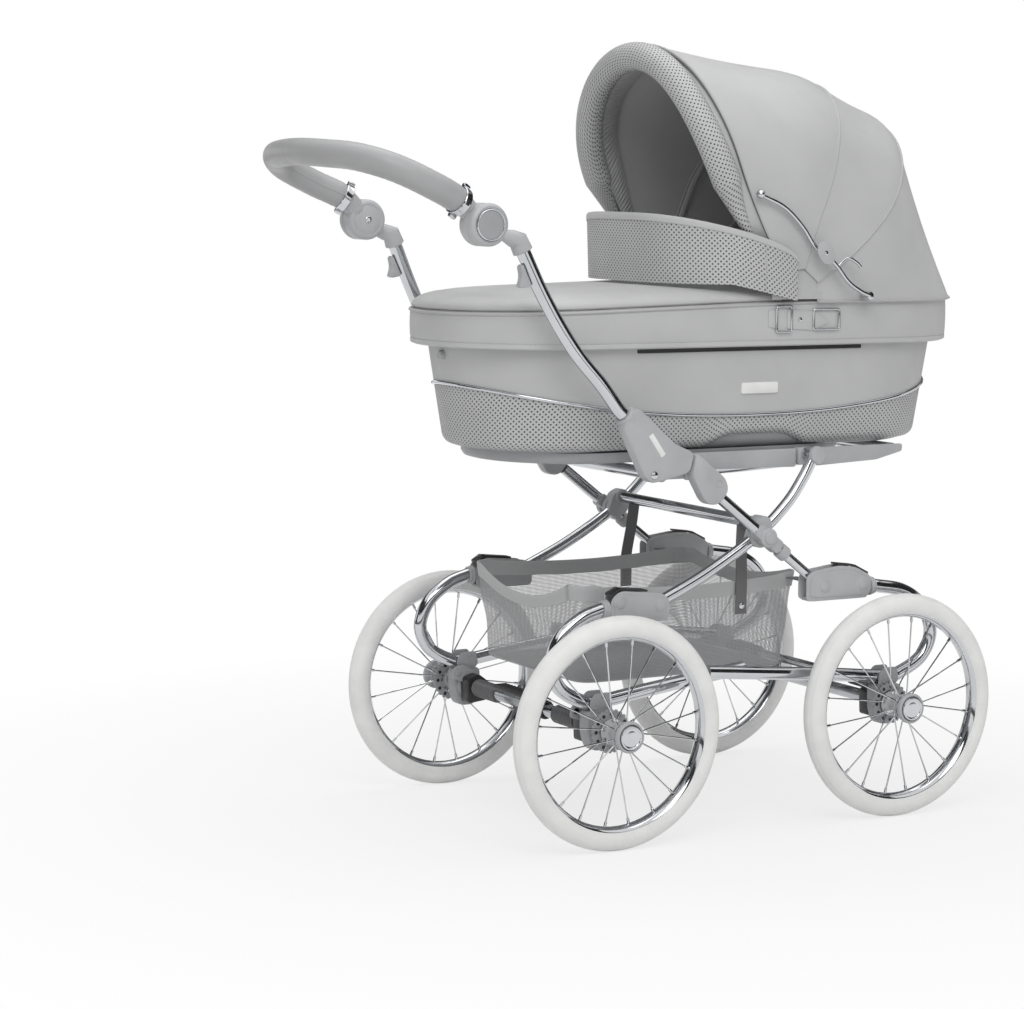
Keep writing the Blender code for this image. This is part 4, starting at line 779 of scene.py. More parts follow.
def build_springs():
    for side, sign in SIDES:
        rear = c_spring(REAR_BLOCK_FACE, REAR_SPRING_ENTRY, 0.0, REAR_SPRING_SEAT, -REAR_SPRING_DEPTH,
                        REAR_BAR_END, sign * REAR_PLANE)
        front = c_spring(FRONT_BLOCK_FACE, FRONT_SPRING_ENTRY, WHEELBASE, FRONT_SPRING_SEAT,
                         FRONT_SPRING_DEPTH, FRONT_BAR_END, sign * FRONT_PLANE)
        for end, path in (("rear", rear), ("front", front)):
            tube_piece(f"{end}_spring_look_{side}", path, SPRING_RADIUS, CHROME, "root", "chrome",
                       f"{end}_spring_{side}")
            work, done = piece(f"{end}_spring_ring_{side}", LIGHT_GREY, "root", "grey_plastic")
            profile = [(SPRING_RADIUS + 0.0002, 0.0), (0.0142, 0.0004), (0.0150, 0.0022), (0.0146, 0.0046),
                       (0.0132, 0.0052), (0.0134, 0.0092), (SPRING_RADIUS + 0.0012, 0.0102),
                       (SPRING_RADIUS + 0.0002, 0.0104)]
            turned(work, profile, path[0], (path[1] - path[0]).normalized(), 32)
            done()


REAR_BLOCK = [(0.0150, 0.3348), (0.0250, 0.3288), (0.1180, 0.3288), (0.1180, 0.3585), (0.1060, 0.3700),
              (0.0310, 0.3780), (0.0150, 0.3660)]
FRONT_BLOCK = [(0.3520, 0.3475), (0.3620, 0.3435), (0.4650, 0.3435), (0.4750, 0.3535), (0.4750, 0.3765),
               (0.4450, 0.3925), (0.4120, 0.3965), (0.3640, 0.3905), (0.3520, 0.3825)]
REAR_GUARD = ((0.017, 0.3700), (0.031, 0.3786), (0.080, 0.3736))
FRONT_GUARD = ((0.4110, 0.3972), (0.4440, 0.3930), (0.4700, 0.3800))


def build_block(name, outline, slot, plane, sign, pins, guard, node):
    """A moulded block of two cheeks over a slot, with domed pins and a black guard along its top."""
    work, done = piece(name, LIGHT_GREY, "root", "grey_plastic", node)
    low, high = min(z for _, z in outline), max(z for _, z in outline)
    left, right = min(x for x, _ in outline), max(x for x, _ in outline)
    outer = slot + BLOCK_CHEEK
    raised = [(x + (right + left - 2 * x) * 0.06, z + (high + low - 2 * z) * 0.10) for x, z in outline]
    for face in (-1, 1):
        plate(work, outline, sign * plane + face * slot, sign * plane + face * outer, 0.0012, 0.009, 6)
        plate(work, raised, sign * plane + face * (outer - 0.0008), sign * plane + face * (outer + 0.0010),
              0.0012, 0.009, 6)
    slab(work, (left + 0.006, sign * plane - slot - 0.001, low + 0.0003),
         (right - 0.008, sign * plane + slot + 0.001, low + 0.0058))
    face = sign * (plane + outer)
    for point in pins:
        pin(work, point, PIN_RADIUS, face, face + sign * PIN_HEIGHT, 0.0025)
        pin(work, point, PIN_RADIUS * 1.35, face, face + sign * 0.0018, 0.001)
    done()
    work, done = piece(f"{name}_guard", BLACK, "root", "black_plastic")
    thick = 0.0030
    for (x_a, z_a), (x_b, z_b) in zip(guard, guard[1:]):
        plate(work, [(x_a, z_a), (x_b, z_b), (x_b, z_b + thick), (x_a, z_a + thick)],
              sign * plane - slot, sign * plane + slot, 0.0006, 0)
    done()


def build_blocks():
    for side, sign in SIDES:
        build_block(f"rear_block_look_{side}", REAR_BLOCK, REAR_SLOT, REAR_PLANE, sign,
                    ((0.030, 0.361), FOLD_PIVOT), REAR_GUARD, f"rear_block_{side}")
        build_block(f"front_block_look_{side}", FRONT_BLOCK, FRONT_SLOT, FRONT_PLANE, sign,
                    (FRONT_PIVOT, (0.457, FRONT_PIVOT[1])), FRONT_GUARD, f"front_block_{side}")


SCISSOR_BOSS = [(0.262, 0.437), (0.281, 0.428), (0.302, 0.440), (0.303, 0.470), (0.290, 0.478),
                (0.272, 0.470)]


def build_rear_scissor():
    """The rear pair of crossed tubes with its cross tube, and the moulded pieces at its joints."""
    fold = side_point(FOLD_PIVOT)
    bend = side_point(SCISSOR_PIVOT)
    rise = side_point(SEAT_PIVOT) - bend
    knots = [fold, fold.lerp(bend, 0.5) - Vector((0, 0, 0.006)), bend]
    for along, up in ((0.52, 0.383), (0.817, 0.717), (1.0, 1.0)):
        knots.append(bend + Vector((rise.x * along, 0, rise.z * up)))
    work, done = piece("rear_scissor_look", CHROME, "rear_scissor", "chrome", "rear_scissor")
    seat_face = SEAT_RAIL_PLANE + FRAME_RADIUS + 0.0068
    for _, sign in SIDES:
        shift = Vector((0, sign * REAR_PLANE, 0))
        sweep(work, smooth_path([knot + shift for knot in knots], STEPS), FRAME_RADIUS)
        tube_face = REAR_PLANE + FRAME_RADIUS + 0.001
        pin(work, SEAT_PIVOT, FRAME_RADIUS * 1.1, sign * seat_face, sign * tube_face)
    lift = Vector((0.007, 0, 0.018))
    sweep(work, [bend + lift + Vector((0, y, 0)) for y in (-REAR_PLANE, REAR_PLANE)], FRAME_RADIUS)
    done()
    for side, sign in SIDES:
        work, done = piece(f"scissor_boss_{side}", LIGHT_GREY, "rear_scissor", "grey_plastic")
        inner, outer = REAR_PLANE - 0.0105, REAR_PLANE + 0.0105
        pin(work, SCISSOR_PIVOT, 0.0175, sign * (REAR_PLANE + 0.002),
            sign * (FRONT_PLANE - FRAME_RADIUS - 0.0015), 0.001, 36)
        plate(work, SCISSOR_BOSS, sign * inner, sign * outer, 0.002, 0.009, 6)
        pin(work, (0.288, 0.464), 0.0125, sign * inner, sign * (inner - 0.005), 0.002)
        done()
        work, done = piece(f"seat_pivot_cap_{side}", LIGHT_GREY, "rear_scissor", "grey_plastic")
        face = REAR_PLANE + FRAME_RADIUS
        pin(work, SEAT_PIVOT, 0.0135, sign * (face - 0.0036), sign * (face + 0.005), 0.003)
        done()


def build_front_scissor():
    """The front pair of crossed tubes, with sliding inner tubes and the joint's outer cap."""
    for side, sign in SIDES:
        low = side_point(FRONT_PIVOT, sign * FRONT_PLANE)
        way = (side_point(SCISSOR_PIVOT, sign * FRONT_PLANE) - low).normalized()
        sleeve = [low + way * SLEEVE_FOOT, low + way * LATCH_FOOT]
        tube_piece(f"front_scissor_look_{side}", sleeve, FRAME_RADIUS, CHROME, "front_scissor", "chrome",
                   f"front_scissor_{side}")
        work, done = piece(f"scissor_cap_{side}", LIGHT_GREY, "front_scissor", "grey_plastic")
        face = FRONT_PLANE + FRAME_RADIUS
        pin(work, SCISSOR_PIVOT, 0.0148, sign * (FRONT_PLANE + 0.002), sign * (face + 0.0045), 0.0025, 36)
        pin(work, SCISSOR_PIVOT, 0.0095, sign * face, sign * (face + 0.0070), 0.002)
        along = Vector((way.x, way.z))
        wide = Vector((-along.y, along.x)) * 0.0105
        middle = Vector(SCISSOR_PIVOT)
        corners = [middle - along * 0.030 - wide, middle + along * 0.024 - wide,
                   middle + along * 0.024 + wide, middle - along * 0.030 + wide]
        plate(work, [tuple(corner) for corner in corners], sign * (FRONT_PLANE - FRAME_RADIUS - 0.0001),
              sign * (face + 0.0012), 0.002, 0.006)
        done()
        work, done = piece(f"front_inner_look_{side}", CHROME, "front_inner", "chrome", f"front_inner_{side}")
        turned(work, [(0.0, -0.0045), (0.005, -0.0025), (INNER_RADIUS, 0.0), (INNER_RADIUS, INNER_LENGTH),
                      (0.0, INNER_LENGTH)], low, way)
        done()
        work, done = piece(f"sleeve_collar_{side}", LIGHT_GREY, "front_scissor", "grey_plastic")
        turned(work, [(FRAME_RADIUS, 0.0), (FRAME_RADIUS + 0.0022, 0.0006), (FRAME_RADIUS + 0.0028, 0.003),
                      (FRAME_RADIUS + 0.0028, 0.014), (FRAME_RADIUS + 0.002, 0.016), (FRAME_RADIUS, 0.0166)],
               low + way * SLEEVE_FOOT, way)
        done()


SKIRT_PANELS = ([(0.153, 0.549), (0.366, 0.546), (0.366, 0.5745), (0.153, 0.5745)],
                [(0.404, 0.546), (0.520, 0.551), (0.570, 0.563), (0.570, 0.5745), (0.404, 0.5745)])


def build_seat_frame():
    """Rails and cross bars under the cot, with moulded saddles, bar caps and rail brackets."""
    work, done = piece("seat_frame_look", CHROME, "seat", "chrome", "seat_frame")
    for _, sign in SIDES:
        y = sign * SEAT_RAIL_PLANE
        rail = [side_point(SEAT_REAR, y), side_point(SEAT_MIDDLE, y), side_point(SEAT_FRONT, y)]
        sweep(work, smooth_path(rail, STEPS), FRAME_RADIUS)
    sweep(work, [side_point(SEAT_REAR, y) for y in (-SEAT_BAR_REACH, SEAT_BAR_REACH)], FRAME_RADIUS)
    sweep(work, [side_point(SEAT_FRONT, y) for y in (-SEAT_RAIL_PLANE, SEAT_RAIL_PLANE)], FRAME_RADIUS)
    done()
    for side, sign in SIDES:
        work, done = piece(f"seat_saddle_{side}", LIGHT_GREY, "seat", "grey_plastic")
        low, high = SEAT_PIVOT[0] - 0.015, SEAT_PIVOT[0] + 0.015
        plate(work, [(low, SADDLE_FOOT), (high, SADDLE_FOOT), (high, SADDLE_TOP), (low, SADDLE_TOP)],
              sign * SEAT_RAIL_PLANE, sign * (SEAT_RAIL_PLANE + FRAME_RADIUS + 0.0065), 0.0015, 0.005)
        sweep(work, [side_point(SEAT_REAR, sign * (SEAT_BAR_REACH + out)) for out in (-0.004, 0.0015, 0.003)],
              [FRAME_RADIUS + 0.0012, FRAME_RADIUS + 0.0012, FRAME_RADIUS - 0.001], 24)
        done()
        work, done = piece(f"seat_skirt_{side}", LIGHT_GREY, "seat", "grey_plastic")
        for outline in SKIRT_PANELS:
            faces = [sign * (SEAT_RAIL_PLANE + face) for face in SKIRT_FACES]
            plate(work, outline, *faces, 0.0014, 0.004)
        done()
        work, done = piece(f"rail_bracket_{side}", BLACK, "seat", "black_plastic")
        plate(work, [(0.098, 0.5365), (0.150, 0.5375), (0.150, 0.5445), (0.128, 0.5555), (0.098, 0.5545)],
              sign * (SEAT_RAIL_PLANE - 0.0105), sign * (SEAT_RAIL_PLANE + 0.0105), 0.0015, 0.004)
        done()


PEDAL_BACK = 0.058
PEDAL_TOP = 0.209
PEDAL_LOW = 0.201
PEDAL_DEPTH = 0.026
PEDAL_HALF = 0.055
PEDAL_MIDDLE = -0.045


def build_pedal():
    """Foot bar with grip ribs on an arm that turns on the rear axle."""
    work, done = piece("brake_pedal_look", BLACK, "brake", "black_plastic", "brake_pedal")
    low_y, high_y = PEDAL_MIDDLE - PEDAL_HALF, PEDAL_MIDDLE + PEDAL_HALF
    slab(work, (-PEDAL_BACK, low_y, PEDAL_LOW), (PEDAL_DEPTH - PEDAL_BACK, high_y, PEDAL_TOP), 0.0025)
    for rib in range(12):
        y = low_y + 0.006 + (2 * PEDAL_HALF - 0.012) * rib / 11
        slab(work, (-PEDAL_BACK + 0.003, y - 0.0011, PEDAL_TOP - 0.0006),
             (PEDAL_DEPTH - PEDAL_BACK - 0.003, y + 0.0011, PEDAL_TOP + 0.0009), 0.0004)
    bore = AXLE_RADIUS + 0.0007
    turned(work, [(bore, -0.013), (bore, 0.013), (bore + 0.0036, 0.0125), (bore + 0.004, 0.011),
                  (bore + 0.004, -0.011), (bore + 0.0036, -0.0125), (bore, -0.013)],
           at(0, PEDAL_MIDDLE, WHEEL_RADIUS), segments=32)
    plate(work, [(-0.048, 0.203), (-bore - 0.0025, 0.173), (-bore * 0.9, 0.1845), (-0.034, 0.208)],
          PEDAL_MIDDLE - 0.0087, PEDAL_MIDDLE + 0.0087, 0.0015, 0.003)
    done()


# Handle

UPPER_LATCH = [(0.040, 0.653), (0.014, 0.624), (0.054, 0.548), (0.066, 0.539), (0.084, 0.541),
               (0.134, 0.552), (0.141, 0.582), (0.110, 0.594)]
LOWER_LATCH = [(0.1435, 0.580), (0.152, 0.5765), (0.198, 0.541)]
LOWER_LATCH_END = [(0.163, 0.503), (0.1365, 0.548)]
LATCH_INNER_FACE = 0.2225
LATCH_WALL = 0.022
LATCH_LIP = 0.004
LINK_FACE = 0.2220
LINK_THICKNESS = 0.0035
HANDLE_TOP = (-0.132, 0.878)
HANDLE_BEND = ((0.252, 0.054, 0.194), (0.522, 0.32, 0.409), (0.792, 0.75, 0.714))
SOCKET_RADIUS = 0.0150
SOCKET_LENGTH = 0.018
DISC_RADIUS = 0.0310
DISC_SPLIT = 0.1985
DISC_THICKNESS = 0.0145
BUTTON_RADIUS = 0.0230
GRIP_HALF_WIDTH = 0.192
GRIP_DEPTH = 0.199
GRIP_RISE = 0.101
GRIP_SHAPE = ((0.181, 0.327, 0.955), (0.427, 0.555, 1.0), (0.688, 0.782, 0.945), (0.869, 0.931, 0.703),
              (0.970, 0.980, 0.365))
ARM_RADIUS = 0.0140
ARM_START = 0.018
ARM_END = 0.060
TRIGGER_DROP = 0.0135
TRIGGER_LENGTH = 0.034
TRIGGER_REACH = 0.020
FIN = ((0.0, 0.0), (1.0, 0.0), (1.0, 0.22), (0.92, 0.75), (0.80, 1.0), (0.62, 0.72), (0.35, 0.42),
       (0.0, 0.28))


def lower_outline():
    """Side view of the lower housing, whose lower face is square to the front scissor."""
    low = Vector(FRONT_PIVOT)
    way = (Vector(SCISSOR_PIVOT) - low).normalized()
    face = low + way * (LATCH_FOOT + GAP)
    wide = Vector((way.y, -way.x)) * (FRAME_RADIUS + LATCH_LIP)
    return [*LOWER_LATCH, tuple(face + wide), tuple(face - wide), *LOWER_LATCH_END]


def build_link(work, sign):
    """Flat link behind the housings, from the handle's rivet to the block that carries it."""
    half = 0.010
    x, z = HANDLE_PIVOT
    reach, start, end = x + 0.086, x + 0.0675, x + 0.094
    plate(work, [(reach, z + half), (x, z + half), (x - half, z), (x, z - half), (reach, z - half)],
          sign * LINK_FACE, sign * (LINK_FACE - LINK_THICKNESS), 0.0006, 0.004)
    plate(work, [(start, z - 0.012), (end, z - 0.012), (end, z + half), (start, z + half)],
          sign * (LINK_FACE - LINK_THICKNESS + 0.0004), sign * (LATCH_INNER_FACE + 0.004), 0.0006, 0.004)


def build_latches():
    """Two moulded housings on each side, joined by the rivet that the handle folds about."""
    outer = LATCH_INNER_FACE + LATCH_WALL
    for side, sign in SIDES:
        work, done = piece(f"latch_upper_look_{side}", LIGHT_GREY, "handle", "grey_plastic",
                           f"latch_upper_{side}")
        plate(work, UPPER_LATCH, sign * LATCH_INNER_FACE, sign * outer, 0.0045, 0.010, 6)
        first, second = Vector(UPPER_LATCH[0]), Vector(UPPER_LATCH[1])
        middle = (first + second) / 2
        across = (second - first).orthogonal().normalized()
        way = Vector((across.x, 0, across.y))
        if way.z < 0:
            way = -way
        start = side_point(tuple(middle), sign * FRONT_PLANE)
        turned(work, [(0.0, -0.012), (0.0165, -0.012), (0.0175, -0.003), (0.0170, 0.0015), (0.0150, 0.0028),
                      (HANDLE_RADIUS + 0.0004, 0.0030)], start, way, 36)
        done()
        work, done = piece(f"latch_plate_{side}", TYRE, "handle", "tyre_white")
        label = [(0.0585, 0.6085), (0.0655, 0.6135), (0.0885, 0.5815), (0.0815, 0.5765)]
        plate(work, label, sign * (outer - 0.0006), sign * (outer + 0.0007), 0.0004, 0.0012)
        done()
        work, done = piece(f"latch_lower_look_{side}", LIGHT_GREY, "front_scissor", "grey_plastic",
                           f"latch_lower_{side}")
        plate(work, lower_outline(), sign * LATCH_INNER_FACE, sign * outer, 0.0040, 0.011, 6)
        build_link(work, sign)
        turned(work, [(0.0048, 0.0), (0.0052, 0.0008), (0.0060, 0.0009), (0.0064, 0.0)],
               at(0.184, sign * (outer - 0.0001), 0.534), Vector((0, sign, 0)), 28)
        done()
        work, done = piece(f"latch_rivet_{side}", CHROME, "handle", "chrome")
        pin(work, HANDLE_PIVOT, 0.0062, sign * (outer - 0.002), sign * (outer + 0.0020), 0.0015)
        done()


def handle_line(sign):
    """Middle line of a handle tube, from its latch up to its socket."""
    start, after = side_point(UPPER_LATCH[0]), side_point(UPPER_LATCH[1])
    away = (after - start).cross(Vector((0, 1, 0))).normalized()
    if away.z < 0:
        away = -away
    foot = (start + after) / 2
    foot.y = FRONT_PLANE
    top = side_point(HANDLE_TOP, HANDLE_TOP_PLANE)
    rise = top - foot
    points = [foot + away * SOCKET_RADIUS]
    points += [foot + Vector((rise.x * a, rise.y * b, rise.z * c)) for a, b, c in HANDLE_BEND]
    line = [foot - away * 0.004, *smooth_path([*points, top], STEPS)]
    return [Vector((point.x, sign * point.y, point.z)) for point in line]


def build_socket(side, sign, top, way):
    """Moulded socket on the handle tube's top, its knuckle disc, and the push button with its ring."""
    pivot = side_point(KNUCKLE_PIVOT)
    outer = DISC_SPLIT + DISC_THICKNESS
    disc = side_point(KNUCKLE_PIVOT, sign * (DISC_SPLIT + outer) / 2)
    collar = top + way * 0.0003
    flat_way = Vector((collar.x - disc.x, 0, collar.z - disc.z)).normalized()
    neck = disc + flat_way * (DISC_RADIUS * 0.80)
    face = Vector((pivot.x, sign * DISC_SPLIT, pivot.z))
    outward = Vector((0, sign, 0))
    work, done = piece(f"handle_socket_look_{side}", LIGHT_GREY, "handle", "grey_plastic",
                       f"handle_socket_{side}")
    throat = collar + way * SOCKET_LENGTH
    path = [collar, collar + way * 0.001, throat, throat.lerp(neck, 0.35), throat.lerp(neck, 0.7), neck]
    radii = [SOCKET_RADIUS - 0.0012, SOCKET_RADIUS, SOCKET_RADIUS - 0.0005, 0.0125, 0.0095, 0.0070]
    sweep(work, path, radii, 32)
    profile = [(0.0, 0.0), (DISC_RADIUS - 0.0012, 0.0), (DISC_RADIUS, 0.0012), (DISC_RADIUS, 0.0090),
               (DISC_RADIUS - 0.0010, 0.0115), (DISC_RADIUS - 0.0032, 0.0136),
               (BUTTON_RADIUS + 0.0032, 0.0145), (BUTTON_RADIUS + 0.0028, 0.0138),
               (BUTTON_RADIUS + 0.0004, 0.0138), (BUTTON_RADIUS + 0.0004, 0.0042), (0.0, 0.0042)]
    turned(work, profile, face, outward, 64)
    done()
    work, done = piece(f"knuckle_button_look_{side}", GREY, f"knuckle_button_{side}", "grey_plastic",
                       f"knuckle_button_{side}")
    profile = [(0.0, 0.0090), (0.0208, 0.0090), (0.0208, 0.0158), (0.0196, 0.0164), (0.0150, 0.0170),
               (0.0, 0.0174)]
    turned(work, profile, face, outward, 56)
    done()
    work, done = piece(f"knuckle_ring_{side}", CHROME, f"knuckle_button_{side}", "chrome")
    profile = [(0.0206, 0.0100), (BUTTON_RADIUS, 0.0100), (BUTTON_RADIUS, 0.0160), (0.0222, 0.0172),
               (0.0212, 0.0172), (0.0206, 0.0164)]
    turned(work, [*profile, profile[0]], face, outward, 56)
    done()


def build_trigger(side, sign, top, way):
    """Fin-shaped lever behind the handle tube, on a short saddle that slides along it."""
    away = Vector((way.z, 0, -way.x)).normalized()
    if away.z > 0:
        away = -away
    clear = HANDLE_RADIUS + 0.0005
    flat_way = Vector((way.x, 0, way.z)).normalized()
    middle = abs(top.y) + abs(way.y) * (TRIGGER_DROP + TRIGGER_LENGTH / 2)
    outline = []
    for along, out in FIN:
        drop = TRIGGER_DROP + TRIGGER_LENGTH * along
        point = top - flat_way * drop + away * (clear + TRIGGER_REACH * out)
        outline.append((point.x - AXLE_X, point.z))
    work, done = piece(f"trigger_look_{side}", LIGHT_GREY, f"trigger_{side}", "grey_plastic",
                       f"trigger_{side}")
    plate(work, outline, sign * (middle - 0.006), sign * (middle + 0.006), 0.0022, 0.0045, 6)
    done()


def grip_path():
    pivot = side_point(KNUCKLE_PIVOT)
    half = [side_point(KNUCKLE_PIVOT, DISC_SPLIT - 0.0005 - ARM_RADIUS)]
    for back, up, wide in GRIP_SHAPE:
        half.append(pivot + Vector((-GRIP_DEPTH * back, GRIP_HALF_WIDTH * wide, GRIP_RISE * up)))
    middle = pivot + Vector((-GRIP_DEPTH, 0, GRIP_RISE))
    points = half + [middle] + [Vector((p.x, -p.y, p.z)) for p in reversed(half)]
    return smooth_path(points, 14)


def build_grip():
    """Padded cover over the U tube, its seam, and on each side an arm, a clamp and a knuckle disc."""
    path = grip_path()
    pivot = side_point(KNUCKLE_PIVOT)
    away = [(Vector((point.x, 0, point.z)) - pivot).length for point in path]
    kept = [point for point, reach in zip(path, away) if reach > 0.046]
    last = len(kept) - 1
    radii = [GRIP_RADIUS * (0.90 + 0.10 * min(1.0, min(i, last - i) / 3)) for i in range(last + 1)]
    radii = [radius * (1 + 0.006 * math.sin(i * 2.1)) for i, radius in enumerate(radii)]
    work, done = piece("grip_cover", GRIP, "grip", "grey_leatherette", "handle_grip")
    sweep(work, kept, radii, 32)
    done()
    work, done = piece("grip_seam", GRIP, "grip", "grey_leatherette")
    inner = []
    for index in range(1, last):
        way = (kept[index + 1] - kept[index - 1]).normalized()
        inward = Vector((pivot.x - 0.02, 0, pivot.z + 0.02)) - kept[index]
        inward = (inward - way * inward.dot(way)).normalized()
        inner.append(kept[index] + inward * (radii[index] - 0.0003))
    sweep(work, inner, 0.0011, 8)
    done()
    for side, sign in SIDES:
        arm = [point for point, reach in zip(path, away)
               if point.y * sign > 0.15 and ARM_START < reach < ARM_END]
        arm.sort(key=lambda point: -(Vector((point.x, 0, point.z)) - pivot).length)
        work, done = piece(f"grip_arm_{side}", LIGHT_GREY, "grip", "grey_plastic")
        sweep(work, arm, [0.018 - 0.0035 * index / (len(arm) - 1) for index in range(len(arm))], 32)
        face = Vector((pivot.x, sign * (DISC_SPLIT - 0.0005), pivot.z))
        profile = [(0.0, 0.0), (DISC_RADIUS - 0.001, 0.0), (DISC_RADIUS, 0.0012), (DISC_RADIUS, 0.0210),
                   (DISC_RADIUS - 0.0014, 0.0243), (DISC_RADIUS - 0.0040, 0.0265), (0.0240, 0.0270),
                   (0.0232, 0.0263), (0.0222, 0.0263), (0.0214, 0.0269), (0.0070, 0.0270), (0.0, 0.0270)]
        turned(work, profile, face, Vector((0, -sign, 0)), 64)
        done()
        work, done = piece(f"knuckle_screw_{side}", CHROME, "grip", "chrome")
        turned(work, [(0.0, 0.0260), (0.0052, 0.0260), (0.0052, 0.0277), (0.0044, 0.0283), (0.0024, 0.0283),
                      (0.0022, 0.0275), (0.0, 0.0275)], face, Vector((0, -sign, 0)), 28)
        done()
        build_clamp(side, sign, arm[0], (arm[0] - arm[1]).normalized())


def build_clamp(side, sign, spot, way):
    """Bright band round the end of the grip, with a black block painted in its slot as shade, and the ends of
    its bolt.
    """
    start = spot - way * 0.012
    work, done = piece(f"grip_clamp_{side}", CHROME, "grip", "chrome")
    profile = ((-0.0030, -0.0062), (0.0012, -0.0060), (0.0020, -0.0050), (0.0017, 0.0), (0.0020, 0.0050),
               (0.0012, 0.0060), (-0.0030, 0.0062))
    turned(work, [(GRIP_RADIUS + over, along) for over, along in profile], start, way, 56)
    outward = Vector((0, sign, 0))
    outward = (outward - way * outward.dot(way)).normalized()
    upward = way.cross(outward)
    for turn in (-1, 1):
        knob = start + upward * (turn * (GRIP_RADIUS + 0.0035))
        turned(work, [(0.0, -0.0062), (0.0036, -0.0054), (0.0042, 0.0), (0.0036, 0.0054), (0.0, 0.0062)],
               knob, way, 20)
    done()
    # The black block in the band's slot is painted shade.
    work, done = piece(f"clamp_slot_shade_{side}", BLACK, "grip", "black_plastic")
    middle = start + outward * (GRIP_RADIUS + 0.0016)
    corners = []
    for depth in (-0.0006, 0.0005):
        corners.append([middle + outward * depth + way * (a * 0.0030) + upward * (b * 0.0042)
                        for a, b in ((-1, -1), (1, -1), (1, 1), (-1, 1))])
    rows = surface(work, corners, around=True)
    work.faces.new(rows[1])
    work.faces.new(list(reversed(rows[0])))
    done()


def build_handle():
    for side, sign in SIDES:
        line = handle_line(sign)
        tube_piece(f"handle_tube_look_{side}", line, HANDLE_RADIUS, CHROME, "handle", "chrome",
                   f"handle_tube_{side}")
        way = (line[-1] - line[-2]).normalized()
        build_socket(side, sign, line[-1], way)
        build_trigger(side, sign, line[-1], way)
    build_grip()


# Carrycot

def stadium(foot, head, half_width, height, arc_steps=26, side_steps=28):
    """Plan outline with half-round ends; the height is a number or a function of X from the axle."""
    rear, front = foot + half_width, head - half_width
    plan = []
    for step in range(arc_steps + 1):
        angle = math.pi / 2 + math.pi * step / arc_steps
        plan.append((rear + half_width * math.cos(angle), half_width * math.sin(angle)))
    plan += [(rear + (front - rear) * step / side_steps, -half_width) for step in range(1, side_steps)]
    for step in range(arc_steps + 1):
        angle = -math.pi / 2 + math.pi * step / arc_steps
        plan.append((front + half_width * math.cos(angle), half_width * math.sin(angle)))
    plan += [(front + (rear - front) * step / side_steps, half_width) for step in range(1, side_steps)]
    level = height if callable(height) else lambda x: height
    return [at(x, y, level(x)) for x, y in plan]


def rim_height(x):
    """The rim rises evenly from the foot to the hood's pivot, and is level from there."""
    share = (x - COT_FOOT) / (HOOD_PIVOT[0] - COT_FOOT)
    return RIM_FOOT + (RIM_HEAD - RIM_FOOT) * min(max(share, 0), 1)


def cot_ring(inset, end_inset, height):
    """The cot's outline, drawn in all round and further in at its ends."""
    return stadium(COT_FOOT + inset + end_inset, COT_HEAD - inset - end_inset, COT_HALF_WIDTH - inset, height)


def trim_height(x):
    """The chrome piping dips in the middle of the cot and rises to both ends."""
    middle = 0.300
    share = (x - middle) / (COT_HEAD - middle if x > middle else middle - COT_FOOT)
    return 0.628 + 0.062 * abs(share) ** 2.2


def cloth_foot(x):
    """The lower cloth ends a little over the floor, and arches up over the base in the middle."""
    share = min(max((x - 0.215) / 0.180, 0.0), 1.0)
    return COT_BOTTOM + 0.004 + 0.017 * min(1.0, 1.6 * math.sin(math.pi * share))


def wall_ring(level, proud=0.0):
    """A ring on the cot's wall, at a height that changes along it."""
    low = cot_ring(HEM_STEP + 0.001 + COT_TAPER - proud, END_TAPER, COT_BOTTOM + 0.012)
    top = cot_ring(HEM_STEP + 0.001 - proud, END_TAPER * 0.5, HEM_BOTTOM - 0.002)
    points = []
    for first, second in zip(low, top):
        share = (level(first.x - AXLE_X) - first.z) / (second.z - first.z)
        point = first.lerp(second, max(share, 0.0))
        point.z = level(first.x - AXLE_X)
        points.append(point)
    return points


def wall_band(name, paint, low, high, proud, *nodes, tuck=0.0):
    """Cloth on the wall between two heights, turned under at its bottom by a radius."""
    work, done = piece(name, paint, "cot", "grey_leatherette", *nodes)
    rings = []
    for step in range(8 if tuck else 0):
        angle = math.pi / 2 * step / 8
        rise, inward = tuck * (1 - math.cos(angle)), tuck * (1 - math.sin(angle))
        rings.append(wall_ring(lambda x, r=rise: low(x) + r, proud - inward))
    for step in range(9):
        share = step / 8
        rings.append(wall_ring(lambda x, s=share: low(x) + tuck + (high(x) - low(x) - tuck) * s, proud))
    surface(work, rings, around=True)
    return done()


def stitches(work, line, pitch=0.0062, length=0.0036, radius=0.0006):
    """A row of short thread stitches along a line."""
    reach = running_length(line)
    spot, index = pitch / 2, 0
    while spot + length < reach[-1]:
        while reach[index + 1] < spot:
            index += 1
        way = line[index + 1] - line[index]
        start = line[index] + way * ((spot - reach[index]) / max(reach[index + 1] - reach[index], 1e-6))
        sweep(work, [start, start + way.normalized() * length], radius, 5)
        spot += pitch


def build_cot():
    """Perforated lower wall, smooth upper wall, chrome piping between them, hem, base and lining."""
    wall_band("cot_lower_cloth", PERFORATED, cloth_foot, trim_height, 0.0, "cot_shell", tuck=0.014)
    wall_band("cot_upper_cloth", LEATHER, trim_height, lambda x: HEM_BOTTOM + 0.004, 0.0)
    line = wall_ring(trim_height, 0.0010)
    work, done = piece("cot_chrome_trim", CHROME, "cot", "chrome")
    sweep(work, line + line[:1], 0.0031, 12, capped=False)
    done()
    build_base()
    build_hem()
    build_lining()
    build_fittings()


